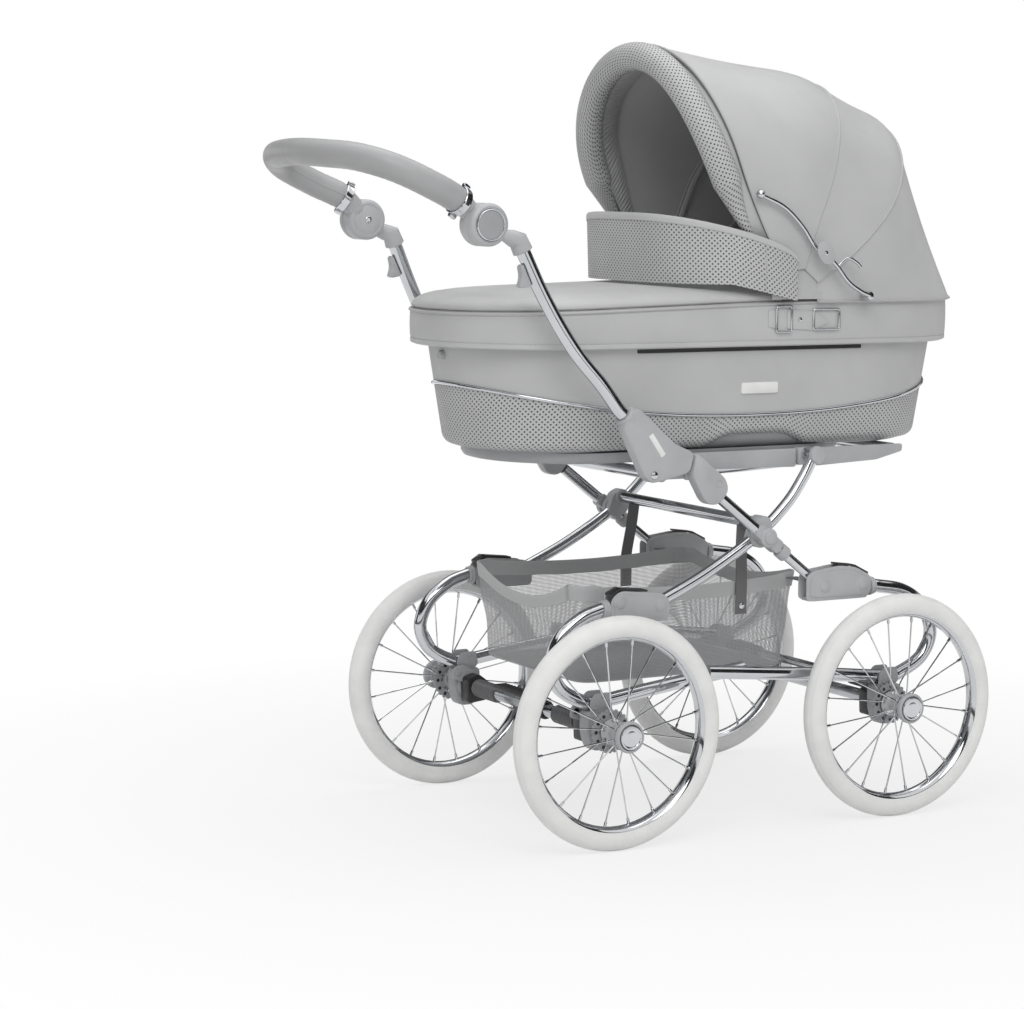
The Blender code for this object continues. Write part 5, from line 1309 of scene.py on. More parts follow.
def build_base():
    """Moulded floor that shows below the cloth, and the tray under it."""
    work, done = piece("cot_base", GREY, "cot", "grey_plastic")
    inset = HEM_STEP + 0.001 + COT_TAPER
    rings = [cot_ring(inset + 0.010, END_TAPER, COT_BOTTOM + 0.030),
             cot_ring(inset + 0.010, END_TAPER, COT_BOTTOM + 0.014),
             cot_ring(inset + 0.016, END_TAPER, COT_BOTTOM + 0.003),
             cot_ring(inset + 0.022, END_TAPER + 0.006, COT_BOTTOM),
             cot_ring(inset + 0.040, END_TAPER + 0.024, COT_BOTTOM)]
    rows = surface(work, rings, around=True)
    work.faces.new(rows[-1])
    done()
    work, done = piece("cot_tray", GREY, "cot", "grey_plastic")
    rings = []
    for inset, height in ((0.0, COT_BOTTOM + 0.001), (0.0, COT_BOTTOM - 0.008), (0.004, COT_BOTTOM - 0.014),
                          (0.012, COT_BOTTOM - 0.016), (0.060, COT_BOTTOM - 0.016)):
        rings.append(stadium(-0.100 + inset, 0.540 - inset, 0.155 - inset, height))
    rows = surface(work, rings, around=True)
    work.faces.new(rows[-1])
    done()


def build_hem():
    """Folded skirt round the rim, with its stitching and the piping along its top."""
    hem = [cot_ring(0.012, 0.006, HEM_BOTTOM + 0.001), cot_ring(0.004, 0.001, HEM_BOTTOM - 0.001),
           cot_ring(0.0005, 0.0, HEM_BOTTOM + 0.001), cot_ring(0.0, 0.0, HEM_BOTTOM + 0.006),
           cot_ring(0.0012, 0.0, HEM_BOTTOM + 0.0078), cot_ring(0.0003, 0.0, HEM_BOTTOM + 0.0100)]
    low = HEM_BOTTOM + 0.0110
    for share in (0.0, 0.25, 0.5, 0.75, 1.0):
        fold = 0.0008 * math.sin(math.pi * share)
        hem.append(cot_ring(-fold, 0.0, lambda x, s=share: low + (rim_height(x) - 0.006 - low) * s))
    hem += [cot_ring(0.001, 0.0, lambda x: rim_height(x) - 0.002), cot_ring(0.004, 0.0, rim_height),
            cot_ring(0.013, 0.0, rim_height), cot_ring(0.017, 0.0, lambda x: rim_height(x) - 0.004)]
    work, done = piece("cot_hem", LEATHER, "cot", "grey_leatherette")
    surface(work, hem, around=True)
    done()
    ring = cot_ring(-0.0002, -0.0002, lambda x: rim_height(x) - 0.0035)
    work, done = piece("hem_piping", PIPING, "cot", "grey_leatherette")
    sweep(work, ring + ring[:1], 0.0023, 10, capped=False)
    done()
    ring = cot_ring(0.0009, 0.0, HEM_BOTTOM + 0.0080)
    work, done = piece("hem_stitches", PIPING, "cot", "grey_leatherette")
    stitches(work, ring + ring[:1])
    done()


def build_lining():
    """Cloth inside the cot, and the mattress on its floor with a piped edge."""
    rings = [cot_ring(0.017, 0.0, lambda x: rim_height(x) - 0.003),
             cot_ring(0.0205, END_TAPER * 0.5, HEM_BOTTOM), cot_ring(0.031, END_TAPER, COT_BOTTOM + 0.024),
             cot_ring(0.043, END_TAPER + 0.012, COT_BOTTOM + 0.012)]
    work, done = piece("cot_lining", LINING, "cot", "white_cotton")
    rows = surface(work, rings, around=True)
    work.faces.new(rows[-1])
    done()
    low = COT_BOTTOM + 0.0125
    shape = ((0.050, 0.0), (0.044, 0.006), (0.043, 0.016), (0.043, 0.028), (0.046, 0.036), (0.056, 0.0405),
             (0.080, 0.0435), (0.120, 0.045))
    work, done = piece("mattress_pad", MATTRESS, "cot", "white_cotton", "mattress")
    rows = surface(work, [cot_ring(inset, 0.036, low + rise) for inset, rise in shape], around=True)
    work.faces.new(rows[-1])
    work.faces.new(list(reversed(rows[0])))
    done()
    edge = cot_ring(0.0428, 0.036, low + 0.036)
    work, done = piece("mattress_piping", MATTRESS, "cot", "white_cotton")
    sweep(work, edge + edge[:1], 0.0018, 8, capped=False)
    done()


def wall_face(z):
    """Distance of the straight part of the cot's wall from the middle plane, at a height."""
    top, low = HEM_BOTTOM - 0.002, COT_BOTTOM + 0.012
    return COT_HALF_WIDTH - HEM_STEP - 0.001 - COT_TAPER * (top - z) / (top - low)


def buckle(work, x, z, y, wide, high, wire, sign):
    """A flat wire ring with rounded corners, lying against the cloth."""
    corners = [(x - wide, z - high), (x + wide, z - high), (x + wide, z + high), (x - wide, z + high)]
    path = [at(a, sign * y, b) for a, b in rounded(corners, 0.004)]
    sweep(work, path + path[:1], wire, 10, capped=False)


KNOB_SPOT = (-0.1560, 0.0, 0.7190)


def build_fittings():
    """Rail, bare plate, knob and hood strap on each side of the cot."""
    work, done = piece("cot_knob", LIGHT_GREY, "cot", "grey_plastic")
    turned(work, [(0.0070, -0.003), (0.0070, 0.0034), (0.0058, 0.0050), (0.0, 0.0056)],
           at(*KNOB_SPOT), Vector((-1, 0, 0)), 28)
    done()
    for side, sign in SIDES:
        face = wall_face(0.728)
        work, done = piece(f"cot_rail_{side}", BLACK, "cot", "black_plastic")
        slab(work, (0.080, sign * (face - 0.001), 0.7262), (0.490, sign * (face + 0.0022), 0.7318), 0.0008)
        done()
        face = wall_face(0.670)
        work, done = piece(f"cot_plate_{side}", TYRE, "cot", "tyre_white")
        plate(work, [(0.270, 0.6605), (0.337, 0.6605), (0.337, 0.6775), (0.270, 0.6775)],
              sign * (face - 0.0015), sign * (face + 0.0022), 0.0008, 0.003, 5)
        done()
        work, done = piece(f"hood_strap_{side}", LEATHER, "cot", "grey_leatherette")
        half = COT_HALF_WIDTH
        plate(work, [(0.339, 0.7590), (0.390, 0.7560), (0.418, 0.7690), (0.390, 0.7850), (0.339, 0.7885)],
              sign * half, sign * (half + 0.0026), 0.0008, 0.004)
        plate(work, [(0.304, 0.7620), (0.324, 0.7600), (0.324, 0.7870), (0.304, 0.7890)],
              sign * half, sign * (half + 0.0024), 0.0008, 0.004)
        done()
        work, done = piece(f"strap_buckle_{side}", CHROME, "cot", "chrome")
        buckle(work, 0.3320, 0.7740, half + 0.0036, 0.0140, 0.0195, 0.0018, sign)
        buckle(work, 0.4110, 0.7730, half + 0.0036, 0.0240, 0.0155, 0.0018, sign)
        pin(work, (0.362, 0.7730), 0.0034, sign * (half + 0.0020), sign * (half + 0.0042), 0.0010, 18)
        done()


# Apron and hood

ROLL_RADIUS = 0.022
ROLL_HALF_WIDTH = 0.184
ROLL_FOOT_PLANE = 0.1765
ROLL_FOOT_RADIUS = 0.003
ROLL_REACH = 0.3994
ROLL_RISE = 0.190
ROLL_ANGLES = (138.0, 116.0)
SEAM_LINE = (0.4092, 0.180, (126.7, 112.9))
MID_LINE = (0.3547, 0.209, (74.8, 66.7))
REAR_LINE = (0.372, 0.190, (24.0, 46.0))
MID_BOW_PLANE = 0.1860
REAR_BOW_PLANE = 0.1905
HOOD_BASE_DROP = 0.012
HOOD_BASE_INSET = 0.004
PANEL_START = 0.040
CLOTH_LAP = 0.0006
FILLER_DIP = 0.0025
GUSSET_RADIUS = 0.046
GUSSET_FACES = (0.1938, 0.1970)
FLAP_HALF_WIDTH = 0.2085
FLAP_FOOT = 0.158
FLAP_BACK = 0.345
FLAP_BASE = 0.827
FLAP_TOP = 0.932
FLAP_END_TOP = 0.867
FLAP_LEAN = 0.005
FLAP_THICKNESS = 0.003
GATHERS_START = 0.125
GATHERS_DEPTH = 0.042
STAY_BALL = (0.271, 0.963)
STAY_KNUCKLE = (0.386, 0.875)
STAY_FOOT = (0.475, 0.809)
STAY_LEVER = ((0.4130, 0.8535), (0.4210, 0.8610), (0.4330, 0.8670), (0.4480, 0.8600), (0.4560, 0.8530))
STAY_UPPER_Y = 0.2100
STAY_LOWER_Y = 0.2172
STAY_ROD = 0.0034


def apron_ring(inset, lift):
    """Outline of the apron on the rim: half-round at the foot and straight under the flap."""
    half_width = COT_HALF_WIDTH - 0.002 - inset
    foot = COT_FOOT + 0.002 + inset
    front = APRON_FRONT - inset * 0.35
    plan = []
    for step in range(41):
        angle = math.pi / 2 + math.pi * step / 40
        plan.append((foot + half_width * (1 + math.cos(angle)), half_width * math.sin(angle)))
    start = foot + half_width
    plan += [(start + (front - start) * step / 12, -half_width) for step in range(1, 12)]
    plan += [(front, -half_width + 2 * half_width * step / 18) for step in range(19)]
    plan += [(front + (start - front) * step / 12, half_width) for step in range(1, 12)]
    return [at(x, y, rim_height(x) + lift) for x, y in plan]


def build_apron():
    """Padded cover over the foot of the cot, with a piped edge and soft puckers along it."""
    shape = [(0.004, 0.0), (0.0005, 0.002), (0.0, 0.005), (0.0015, 0.0085), (0.006, 0.0130), (0.014, 0.0170),
             (0.028, 0.0205), (0.048, 0.0230), (0.075, 0.0248), (0.105, 0.0257), (0.140, 0.0260),
             (0.170, 0.0260)]
    rings = []
    for inset, lift in shape:
        ring = apron_ring(inset, lift + 0.0003)
        if 0.002 < inset < 0.06:
            fade = 1 - inset / 0.06
            ring = [point - Vector((0, 0, 0.0009 * fade * (1 + math.sin(index * 1.7)) / 2))
                    for index, point in enumerate(ring)]
        rings.append(ring)
    work, done = piece("apron_cover", LEATHER, "cot", "grey_leatherette", "apron", sharp=60)
    rows = surface(work, rings, around=True)
    work.faces.new(rows[-1])
    work.faces.new(list(reversed(rows[0])))
    done()
    edge = apron_ring(0.0012, 0.0036)
    work, done = piece("apron_piping", PIPING, "cot", "grey_leatherette")
    sweep(work, edge + edge[:1], 0.0019, 10, capped=False)
    done()


def arch(reach, rise, half_width, angles, start, steps=(14, 44)):
    """Bow line over the hood from its right foot to its left foot, as in the frame's solids."""
    knee = reach - rise
    flat = [(start + (knee - start) * step / steps[0], -half_width) for step in range(steps[0])]
    for step in range(steps[1] + 1):
        angle = -math.pi / 2 + math.pi * step / steps[1]
        flat.append((knee + rise * math.cos(angle), half_width * math.sin(angle)))
    flat += [(start + (knee - start) * step / steps[0], half_width) for step in range(steps[0] - 1, -1, -1)]
    points = []
    for radius, y in flat:
        angle = math.radians(angles[0] + (angles[1] - angles[0]) * radius / reach)
        x, z = HOOD_PIVOT[0] + radius * math.cos(angle), HOOD_PIVOT[1] + radius * math.sin(angle)
        points.append(at(x, y, z))
    return points


def hood_line(line, depth, steps=(14, 44)):
    """One of the hood's lines, given as reach, rise and angles, at a depth inside the cloth."""
    reach, rise, angles = line
    return arch(reach - depth, rise - depth, HOOD_HALF_WIDTH - depth, angles, PANEL_START, steps)


def base_line(depth):
    """Where the rear cloth meets the rim of the cot."""
    reach = COT_HEAD - COT_HALF_WIDTH + HOOD_HALF_WIDTH - HOOD_PIVOT[0]
    line = hood_line((reach, HOOD_HALF_WIDTH, (0.0, 0.0)), depth)
    return [point + Vector((0, 0, -HOOD_BASE_DROP)) for point in line]


def cloth_between(first, second, bulge, sag, rows=24):
    """Cloth between two bow lines: it swells just in front of the first, and is drawn in between."""
    grid = []
    for row in range(rows + 1):
        share = row / rows
        pull = 1 + bulge * math.sin(math.pi * (1 - share) ** 3.4) - sag * math.sin(math.pi * share)
        line = []
        for index, (a, b) in enumerate(zip(first, second)):
            point = a.lerp(b, share)
            foot = side_point(HOOD_PIVOT, point.y)
            away = point - foot
            low = 1 - min(away.length / 0.20, 1.0)
            crease = 0.006 * low * math.sin(math.pi * share) * math.sin(index * 0.9 + share * 5.0)
            line.append(foot + away * (pull + crease))
        grid.append(line)
    return grid


def drawn_in(grid, depth):
    """The same cloth, a little nearer the hood's pivot line."""
    inner = []
    for row in grid:
        line = []
        for point in row:
            foot = side_point(HOOD_PIVOT, point.y * 0.6)
            line.append(point + (foot - point).normalized() * depth)
        inner.append(line)
    return inner


def two_faced(work, outer, inner):
    """One closed sheet with its outer face in the first finish and its inner face in the second."""
    top = surface(work, outer)
    before = set(work.faces)
    under = surface(work, inner)
    for face in work.faces:
        if face not in before:
            face.material_index = 1
    rows, columns = len(outer) - 1, len(outer[0]) - 1
    for i in range(rows):
        for j in (0, columns):
            work.faces.new((top[i][j], top[i + 1][j], under[i + 1][j], under[i][j]))
    for j in range(columns):
        for i in (0, rows):
            work.faces.new((top[i][j], under[i][j], under[i][j + 1], top[i][j + 1]))


def cloth_sheet(name, grid, paints, bodies, bend, node, depth=0.0014):
    """A sheet of cloth with a lined inner face."""
    work, done = piece(name, paints[0], None, "grey_leatherette", node)
    two_faced(work, grid, drawn_in(grid, depth))
    item = done()
    item.data.materials.append(paints[1])
    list(bodies)
    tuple(bend[0])
    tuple(bend[1])
    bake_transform(item)
    width = max(running_length(row)[-1] for row in grid)
    length = max(running_length([row[j] for row in grid])[-1] for j in range(len(grid[0])))
    return item


def build_hood():
    """Three cloths stretched over two bows between the padded roll and the rim of the cot.

    Each cloth lies a little outside the one behind it, so that they lap when the hood folds.
    """
    seam, mid, rear = (hood_line(line, 0.0) for line in (SEAM_LINE, MID_LINE, REAR_LINE))
    base = base_line(HOOD_BASE_INSET)
    parts = (("hood_cloth_front", mid, seam, ("hood_mid", "hood_front"), 0.024, 0.0, "hood_panel_front"),
             ("hood_cloth_mid", rear, mid, ("hood_rear", "hood_mid"), 0.018, 0.0, "hood_panel_mid"),
             ("hood_cloth_rear", base, rear, ("cot", "hood_rear"), 0.0, 0.015, "hood_panel_rear"))
    middle = len(seam) // 2
    for index, (name, low, high, bodies, bulge, sag, node) in enumerate(parts):
        grid = cloth_between(low, high, bulge, sag)
        for row in grid:
            for point in row:
                point.y *= 1 + CLOTH_LAP * (len(parts) - 1 - index) / HOOD_HALF_WIDTH
        cloth_sheet(name, grid, (LEATHER, LINING), bodies, (low[middle], high[middle]), node)
    for name, line, body in (("hood_piping_mid", mid, "hood_mid"), ("hood_piping_rear", rear, "hood_rear"),
                             ("hood_piping_front", seam, "hood_front"), ("hood_piping_base", base, "cot")):
        tube_piece(name, line, 0.0021, PIPING, body, "grey_leatherette")
    reach, rise, angles = SEAM_LINE
    shadow = (reach - 0.001, rise - 0.001, (angles[0] + 0.5, angles[1] + 0.5))
    tube_piece("hood_seam_shadow", hood_line(shadow, 0.0), 0.0015, DARK_GREY, "hood_front", "black_plastic")
    build_bow("hood_bow_mid_tape", MID_LINE, MID_BOW_PLANE, "hood_mid", "hood_bow_mid")
    build_bow("hood_bow_rear_tape", REAR_LINE, REAR_BOW_PLANE, "hood_rear", "hood_bow_rear")
    build_roll()
    build_filler()
    build_gussets()
    build_stays()


def build_filler():
    """Strip of cloth that joins the hood's front seam to the back of the roll."""
    path, radii = roll_line((14, 44), PANEL_START)
    seam = hood_line(SEAM_LINE, 0.0)
    grid = []
    for share in (0.0, 0.35, 0.7, 1.0):
        line = []
        for middle, radius, edge in zip(path, radii, seam):
            behind = middle + (edge - middle).normalized() * radius * 0.9
            inward = (side_point(HOOD_PIVOT, middle.y * 0.6) - middle).normalized()
            line.append(edge.lerp(behind, share) + inward * (FILLER_DIP * math.sin(math.pi * share)))
        grid.append(line)
    work, done = piece("hood_filler", LEATHER, "hood_front", "grey_leatherette")
    two_faced(work, grid, drawn_in(grid, 0.0010))
    done()


def build_gussets():
    """Round stiffened cloth behind the hood's pivot on each side."""
    outline = []
    for step in range(37):
        angle = math.radians(-10 + 200 * step / 36)
        outline.append((HOOD_PIVOT[0] + GUSSET_RADIUS * math.cos(angle),
                        HOOD_PIVOT[1] + GUSSET_RADIUS * math.sin(angle)))
    for side, sign in SIDES:
        work, done = piece(f"hood_gusset_{side}", LEATHER, "cot", "grey_leatherette")
        plate(work, outline, *(sign * face for face in GUSSET_FACES), 0.0010, 0)
        done()


def build_bow(name, line, plane, body, node):
    """Steel bow wound with lining cloth: flat against the hood's side and over its top."""
    reach, rise, angles = line
    path = arch(reach - 0.006, rise - 0.006, plane, angles, 0.004)
    work, done = piece(name, LINING, body, "white_cotton", node)
    sweep(work, path, 0.0021, 14, tall=2.4)
    done()


def roll_line(steps=(18, 66), start=0.016):
    """Middle line and radius of the padded roll, which narrows towards its feet."""
    points = arch(ROLL_REACH, ROLL_RISE, ROLL_HALF_WIDTH, ROLL_ANGLES, start, steps)
    pivot = side_point(HOOD_PIVOT)
    swell = ROLL_REACH - ROLL_RISE
    path, radii = [], []
    for point in points:
        distance = (Vector((point.x, 0, point.z)) - pivot).length
        share = min(distance / swell, 1.0)
        if distance < swell:
            foot_y = math.copysign(ROLL_FOOT_PLANE, point.y)
            point.y = foot_y + (point.y - foot_y) * share
        radii.append(ROLL_FOOT_RADIUS + (ROLL_RADIUS - ROLL_FOOT_RADIUS) * share ** 3)
        path.append(point)
    return path, radii


def build_roll():
    """Padded roll with fine puckers on its inner edge."""
    path, radii = roll_line((36, 132))
    work, done = piece("hood_roll_cover", PERFORATED, "hood_front", "grey_leatherette", "hood_roll", sharp=70)
    rows = sweep(work, path, radii, 36)
    middle = side_point((HOOD_PIVOT[0] - 0.08, HOOD_PIVOT[1] + 0.18))
    for index, (ring, point, size) in enumerate(zip(rows, path, radii)):
        inward = (middle - point).normalized()
        for vert in ring:
            facing = (vert.co - point).normalized().dot(inward)
            if facing > 0.1:
                vert.co -= inward * (0.0011 * (size / ROLL_RADIUS) * facing * (1 + math.sin(index * 2.3)) / 2)
    done()
    build_gathers(middle)


def build_gathers(middle):
    """Facing of gathered cloth from the roll's inner edge back into the hood."""
    steps = (60, 260)
    inset = 0.017
    near = arch(ROLL_REACH - inset, ROLL_RISE - inset, ROLL_HALF_WIDTH - inset,
                (ROLL_ANGLES[0] - 1.5, ROLL_ANGLES[1] - 1.5), GATHERS_START, steps)
    reach, rise, angles = SEAM_LINE
    far = arch(reach - GATHERS_DEPTH, rise - GATHERS_DEPTH, HOOD_HALF_WIDTH - 0.013,
               (angles[0] - 7.5, angles[1] - 5.5), GATHERS_START, steps)
    grid = []
    for step in range(7):
        share = step / 6
        line = []
        for index, (a, b) in enumerate(zip(near, far)):
            point = a.lerp(b, share)
            inward = (middle - point).normalized()
            line.append(point + inward * (0.0013 * math.sin(math.pi * share) * (1 + math.sin(index * 1.45))))
        grid.append(line)
    work, done = piece("hood_gathers", LEATHER, None, "grey_leatherette")
    two_faced(work, grid, drawn_in(grid, -0.0009))
    mid, seam = hood_line(MID_LINE, 0.0), hood_line(SEAM_LINE, 0.0)
    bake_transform(done())


def oval(centre, wide, high, tilt, steps=28):
    """Outline of a tilted oval in side view."""
    points = []
    for step in range(steps):
        angle = 2 * math.pi * step / steps
        a, b = wide * math.cos(angle), high * math.sin(angle)
        points.append((centre[0] + a * math.cos(tilt) - b * math.sin(tilt),
                       centre[1] + a * math.sin(tilt) + b * math.cos(tilt)))
    return points


def build_stays():
    """Round S-shaped rods with ball ends, joined at a pale plate, with the lever that locks them."""
    for side, sign in SIDES:
        upper = [side_point(point, sign * STAY_UPPER_Y)
                 for point in (STAY_BALL, (0.316, 0.9440), (0.350, 0.9150), (0.370, 0.8895), STAY_KNUCKLE)]
        work, done = piece(f"stay_upper_look_{side}", CHROME, "stay_upper", "chrome", f"stay_upper_{side}")
        sweep(work, smooth_path(upper, 10), STAY_ROD, 16)
        face = sign * STAY_UPPER_Y
        ball = [(0.0, -0.0070), (0.0036, -0.0060), (0.0062, -0.0031), (0.0070, 0.0), (0.0062, 0.0031),
                (0.0036, 0.0060), (0.0, 0.0070)]
        turned(work, ball, side_point(STAY_BALL, face + sign * 0.0022), Vector((0, sign, 0)), 28)
        pin(work, STAY_KNUCKLE, 0.0038, face, sign * 0.2245, 0.0012, 24)
        done()
        work, done = piece(f"stay_plate_{side}", LIGHT_GREY, "stay_upper", "grey_plastic")
        shape = oval((STAY_KNUCKLE[0] + 0.001, STAY_KNUCKLE[1]), 0.0195, 0.0145, math.radians(-52))
        plate(work, shape, sign * 0.2212, sign * 0.2238, 0.0009, 0)
        done()
        lower = [side_point(point, sign * STAY_LOWER_Y)
                 for point in (STAY_KNUCKLE, (0.4100, 0.8560), (0.4330, 0.8310), (0.4560, 0.8165), STAY_FOOT)]
        work, done = piece(f"stay_lower_look_{side}", CHROME, "stay_lower", "chrome", f"stay_lower_{side}")
        path = smooth_path(lower, 10)
        start = next(index for index, point in enumerate(path) if (point - path[0]).length > 0.006)
        sweep(work, path[start:], STAY_ROD, 16)
        ring = [(0.0044, -0.0024), (0.0072, -0.0024), (0.0072, 0.0024), (0.0044, 0.0024), (0.0044, -0.0024)]
        turned(work, ring, side_point(STAY_KNUCKLE, sign * STAY_LOWER_Y), Vector((0, 1, 0)), 28)
        pin(work, STAY_FOOT, 0.0066, sign * 0.2002, sign * (STAY_LOWER_Y + 0.0024), 0.0018, 28)
        lever = [side_point(point, sign * STAY_LOWER_Y) for point in STAY_LEVER]
        sweep(work, smooth_path(lever, 6), [0.0022] * 12 + [0.0026] * 13, 12)
        done()


def flap_line(depth, share, count=96):
    """A line round the flap between its foot, 0, and its top edge, 1."""
    line = []
    reach = FLAP_BACK - FLAP_FOOT - depth
    for step in range(count + 1):
        angle = -math.pi / 2 + math.pi * step / count
        bulge = max(math.cos(angle), 0.0)
        y = (FLAP_HALF_WIDTH - depth) * math.copysign(abs(math.sin(angle)) ** 0.6, math.sin(angle))
        low = RIM_HEAD + (FLAP_BASE - RIM_HEAD) * min(bulge * 1.8, 1.0)
        high = FLAP_END_TOP + (FLAP_TOP - FLAP_END_TOP) * bulge ** 0.65
        x = FLAP_BACK - (reach + FLAP_LEAN * share) * bulge
        line.append(at(x, y, low + (high - low) * share))
    return line


def build_flap():
    """Perforated flap that stands on the apron, bound with smooth leatherette along its free edges."""
    levels = [step / 18 for step in range(19)]
    outer = [flap_line(0.0, share) for share in levels]
    inner = [flap_line(FLAP_THICKNESS * 0.8, share) for share in levels]
    work, done = piece("flap_cloth", PERFORATED, None, "grey_leatherette", "windshield")
    two_faced(work, outer, inner)
    item = done()
    item.data.materials.append(LEATHER)
    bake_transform(item)
    width = max(running_length(row)[-1] for row in outer)
    over, under = -0.0009, FLAP_THICKNESS * 0.8 + 0.0009
    band = [flap_line(over, 0.905), flap_line(over, 0.945), flap_line(over, 0.985),
            [point + Vector((0, 0, 0.0010)) for point in flap_line(0.0006, 1.0)],
            [point + Vector((0, 0, 0.0010)) for point in flap_line(FLAP_THICKNESS * 0.6, 1.0)],
            flap_line(under, 0.985), flap_line(under, 0.945), flap_line(under, 0.905)]
    work, done = piece("flap_binding", LEATHER, None, "grey_leatherette")
    surface(work, band)
    item = done()
    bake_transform(item)
    work, done = piece("flap_seams", PIPING, None, "grey_leatherette")
    for column in (9, 87):
        sweep(work, [row[column] for row in outer[:-1]], 0.0010, 8)
    sweep(work, [point for point in flap_line(-0.0003, 0.90)][4:-4], 0.0006, 8)
    item = done()
    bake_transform(item)


# Basket

BASKET_REAR = -0.012
BASKET_FRONT = 0.395
BASKET_HALF_WIDTH = 0.165
BASKET_TOP = 0.380
BASKET_BOTTOM = 0.228
BASKET_CORNER = 0.030
BASKET_TAPER = 0.015
STRAP_X = SCISSOR_PIVOT[0]


def basket_plan(inset, taper, level):
    """Rounded outline of the basket in plan, with points close together along it."""
    half = BASKET_HALF_WIDTH - inset - taper
    low = BASKET_REAR + inset + taper
    high = BASKET_FRONT - inset - taper
    outline = rounded([(low, -half), (high, -half), (high, half), (low, half)], BASKET_CORNER, 8)
    points = []
    for index, point in enumerate(outline):
        first, second = Vector(point), Vector(outline[(index + 1) % len(outline)])
        pieces = 24 if (second - first).length > 0.08 else 1
        for step in range(pieces):
            x, y = first.lerp(second, step / pieces)
            points.append(at(x, y, level(x, y)))
    return points


def rim_sag(x, y):
    """How far the rim hangs down: most at the middle of its rear end."""
    along = min(max((x - BASKET_REAR) / (BASKET_FRONT - BASKET_REAR), 0.0), 1.0)
    across = max(1 - (y / (BASKET_HALF_WIDTH - BASKET_CORNER)) ** 2, 0.0)
    if along < 0.08:
        return 0.032 * across
    if along > 0.92:
        return 0.018 * across
    return 0.010 * math.sin(math.pi * along) if across == 0 else 0.0


def basket_wall(share, inset=0.0, folds=1.0):
    """A ring of the wall from the floor, 0, to the rim, 1."""
    def level(x, y):
        top = BASKET_TOP - rim_sag(x, y)
        return BASKET_BOTTOM + 0.004 + (top - BASKET_BOTTOM - 0.004) * share

    ring = basket_plan(0.0006 + inset, BASKET_TAPER * (1 - share), level)
    middle = at((BASKET_REAR + BASKET_FRONT) / 2, 0, 0)
    reach = running_length(ring)
    for index, point in enumerate(ring):
        inward = Vector((middle.x - point.x, middle.y - point.y, 0)).normalized()
        wave = math.sin(reach[index] * 52 + share * 5.5)
        wave += 0.6 * math.sin(reach[index] * 31 - share * 7.0 + 1.0)
        depth = 0.0028 * folds * math.sin(math.pi * share) * (1.6 + wave) / 2
        ring[index] = point + inward * depth
    return ring


def build_basket():
    """Net hung from a band of webbing, with a stiff floor and its straps."""
    rings = [basket_wall(step / 16 * 0.86) for step in range(17)]
    work, done = piece("basket_cloth", NET, "root", "mesh_grey", "basket")
    rows = surface(work, rings, around=True)
    foot = basket_plan(0.006, BASKET_TAPER, lambda x, y: BASKET_BOTTOM + 0.0006)
    floor = basket_plan(0.030, BASKET_TAPER, lambda x, y: BASKET_BOTTOM + 0.0004)
    lower = surface(work, [foot, floor], around=True)
    for j in range(len(foot)):
        after = (j + 1) % len(foot)
        work.faces.new((lower[0][j], lower[0][after], rows[0][after], rows[0][j]))
    work.faces.new(lower[1])
    done()
    work, done = piece("basket_board", FLOOR_CLOTH, "root", "mesh_grey")
    board = [basket_plan(inset, BASKET_TAPER, lambda x, y, z=z: z)
             for inset, z in ((0.010, 0.2296), (0.008, 0.2308), (0.010, 0.2322))]
    rows = surface(work, board, around=True)
    work.faces.new(rows[-1])
    work.faces.new(list(reversed(rows[0])))
    done()
    work, done = piece("basket_band", BAND, "root", "mesh_grey")
    outer = [basket_wall(share, -0.0004, 0.3) for share in (0.84, 0.89, 0.94, 0.985)]
    outer.append(basket_wall(1.0, 0.0003, 0.3))
    inner = [basket_wall(share, 0.0016, 0.3) for share in (0.84, 0.89, 0.94, 0.985)]
    inner.append(basket_wall(1.0, 0.0009, 0.3))
    grids = [[ring + ring[:1] for ring in grid] for grid in (outer, inner)]
    two_faced(work, *grids)
    item = done()
    item.data.materials.append(BAND)
    build_basket_straps()


def build_basket_straps():
    """Short webbing tabs from the rim to the spring blocks, and on each side a strap with a snap."""
    work, done = piece("basket_tabs", STRAP, "root", "mesh_grey")
    for _, sign in SIDES:
        slab(work, (0.040, sign * 0.1635, 0.3640), (0.062, sign * 0.1935, 0.3656), 0.0005)
        slab(work, (0.366, sign * 0.1620, 0.3700), (0.388, sign * 0.2172, 0.3716), 0.0005)
    done()
    work, done = piece("basket_tag", MATTRESS, "root", "white_cotton")
    face = BASKET_HALF_WIDTH
    slab(work, (0.034, -face + 0.0006, 0.3470), (0.064, -face - 0.0008, 0.3650), 0.0003)
    done()
    bend = side_point(SCISSOR_PIVOT)
    for side, sign in SIDES:
        knots = [Vector((bend.x + 0.0070, sign * 0.1560, bend.z + 0.0120)),
                 Vector((bend.x + 0.0040, sign * 0.1590, bend.z - 0.0250)),
                 at(STRAP_X, sign * 0.1668, 0.372), at(STRAP_X, sign * 0.1668, 0.345),
                 at(STRAP_X, sign * 0.1664, 0.320)]
        path = smooth_path(knots, 6)
        outer, inner = [], []
        wide, thin = Vector((0.0100, 0, 0)), Vector((0, 0.0007, 0))
        for point in path:
            outer.append([point - wide + thin, point + thin, point + wide + thin])
            inner.append([point - wide - thin, point - thin, point + wide - thin])
        work, done = piece(f"basket_strap_{side}", STRAP, None, "mesh_grey")
        two_faced(work, outer, inner)
        item = done()
        item.data.materials.append(STRAP)
        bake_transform(item)
        work, done = piece(f"strap_snap_{side}", CHROME, "root", "chrome")
        pin(work, (STRAP_X, 0.333), 0.0052, sign * 0.1668, sign * 0.1702, 0.0012, 24)
        done()


# Stage

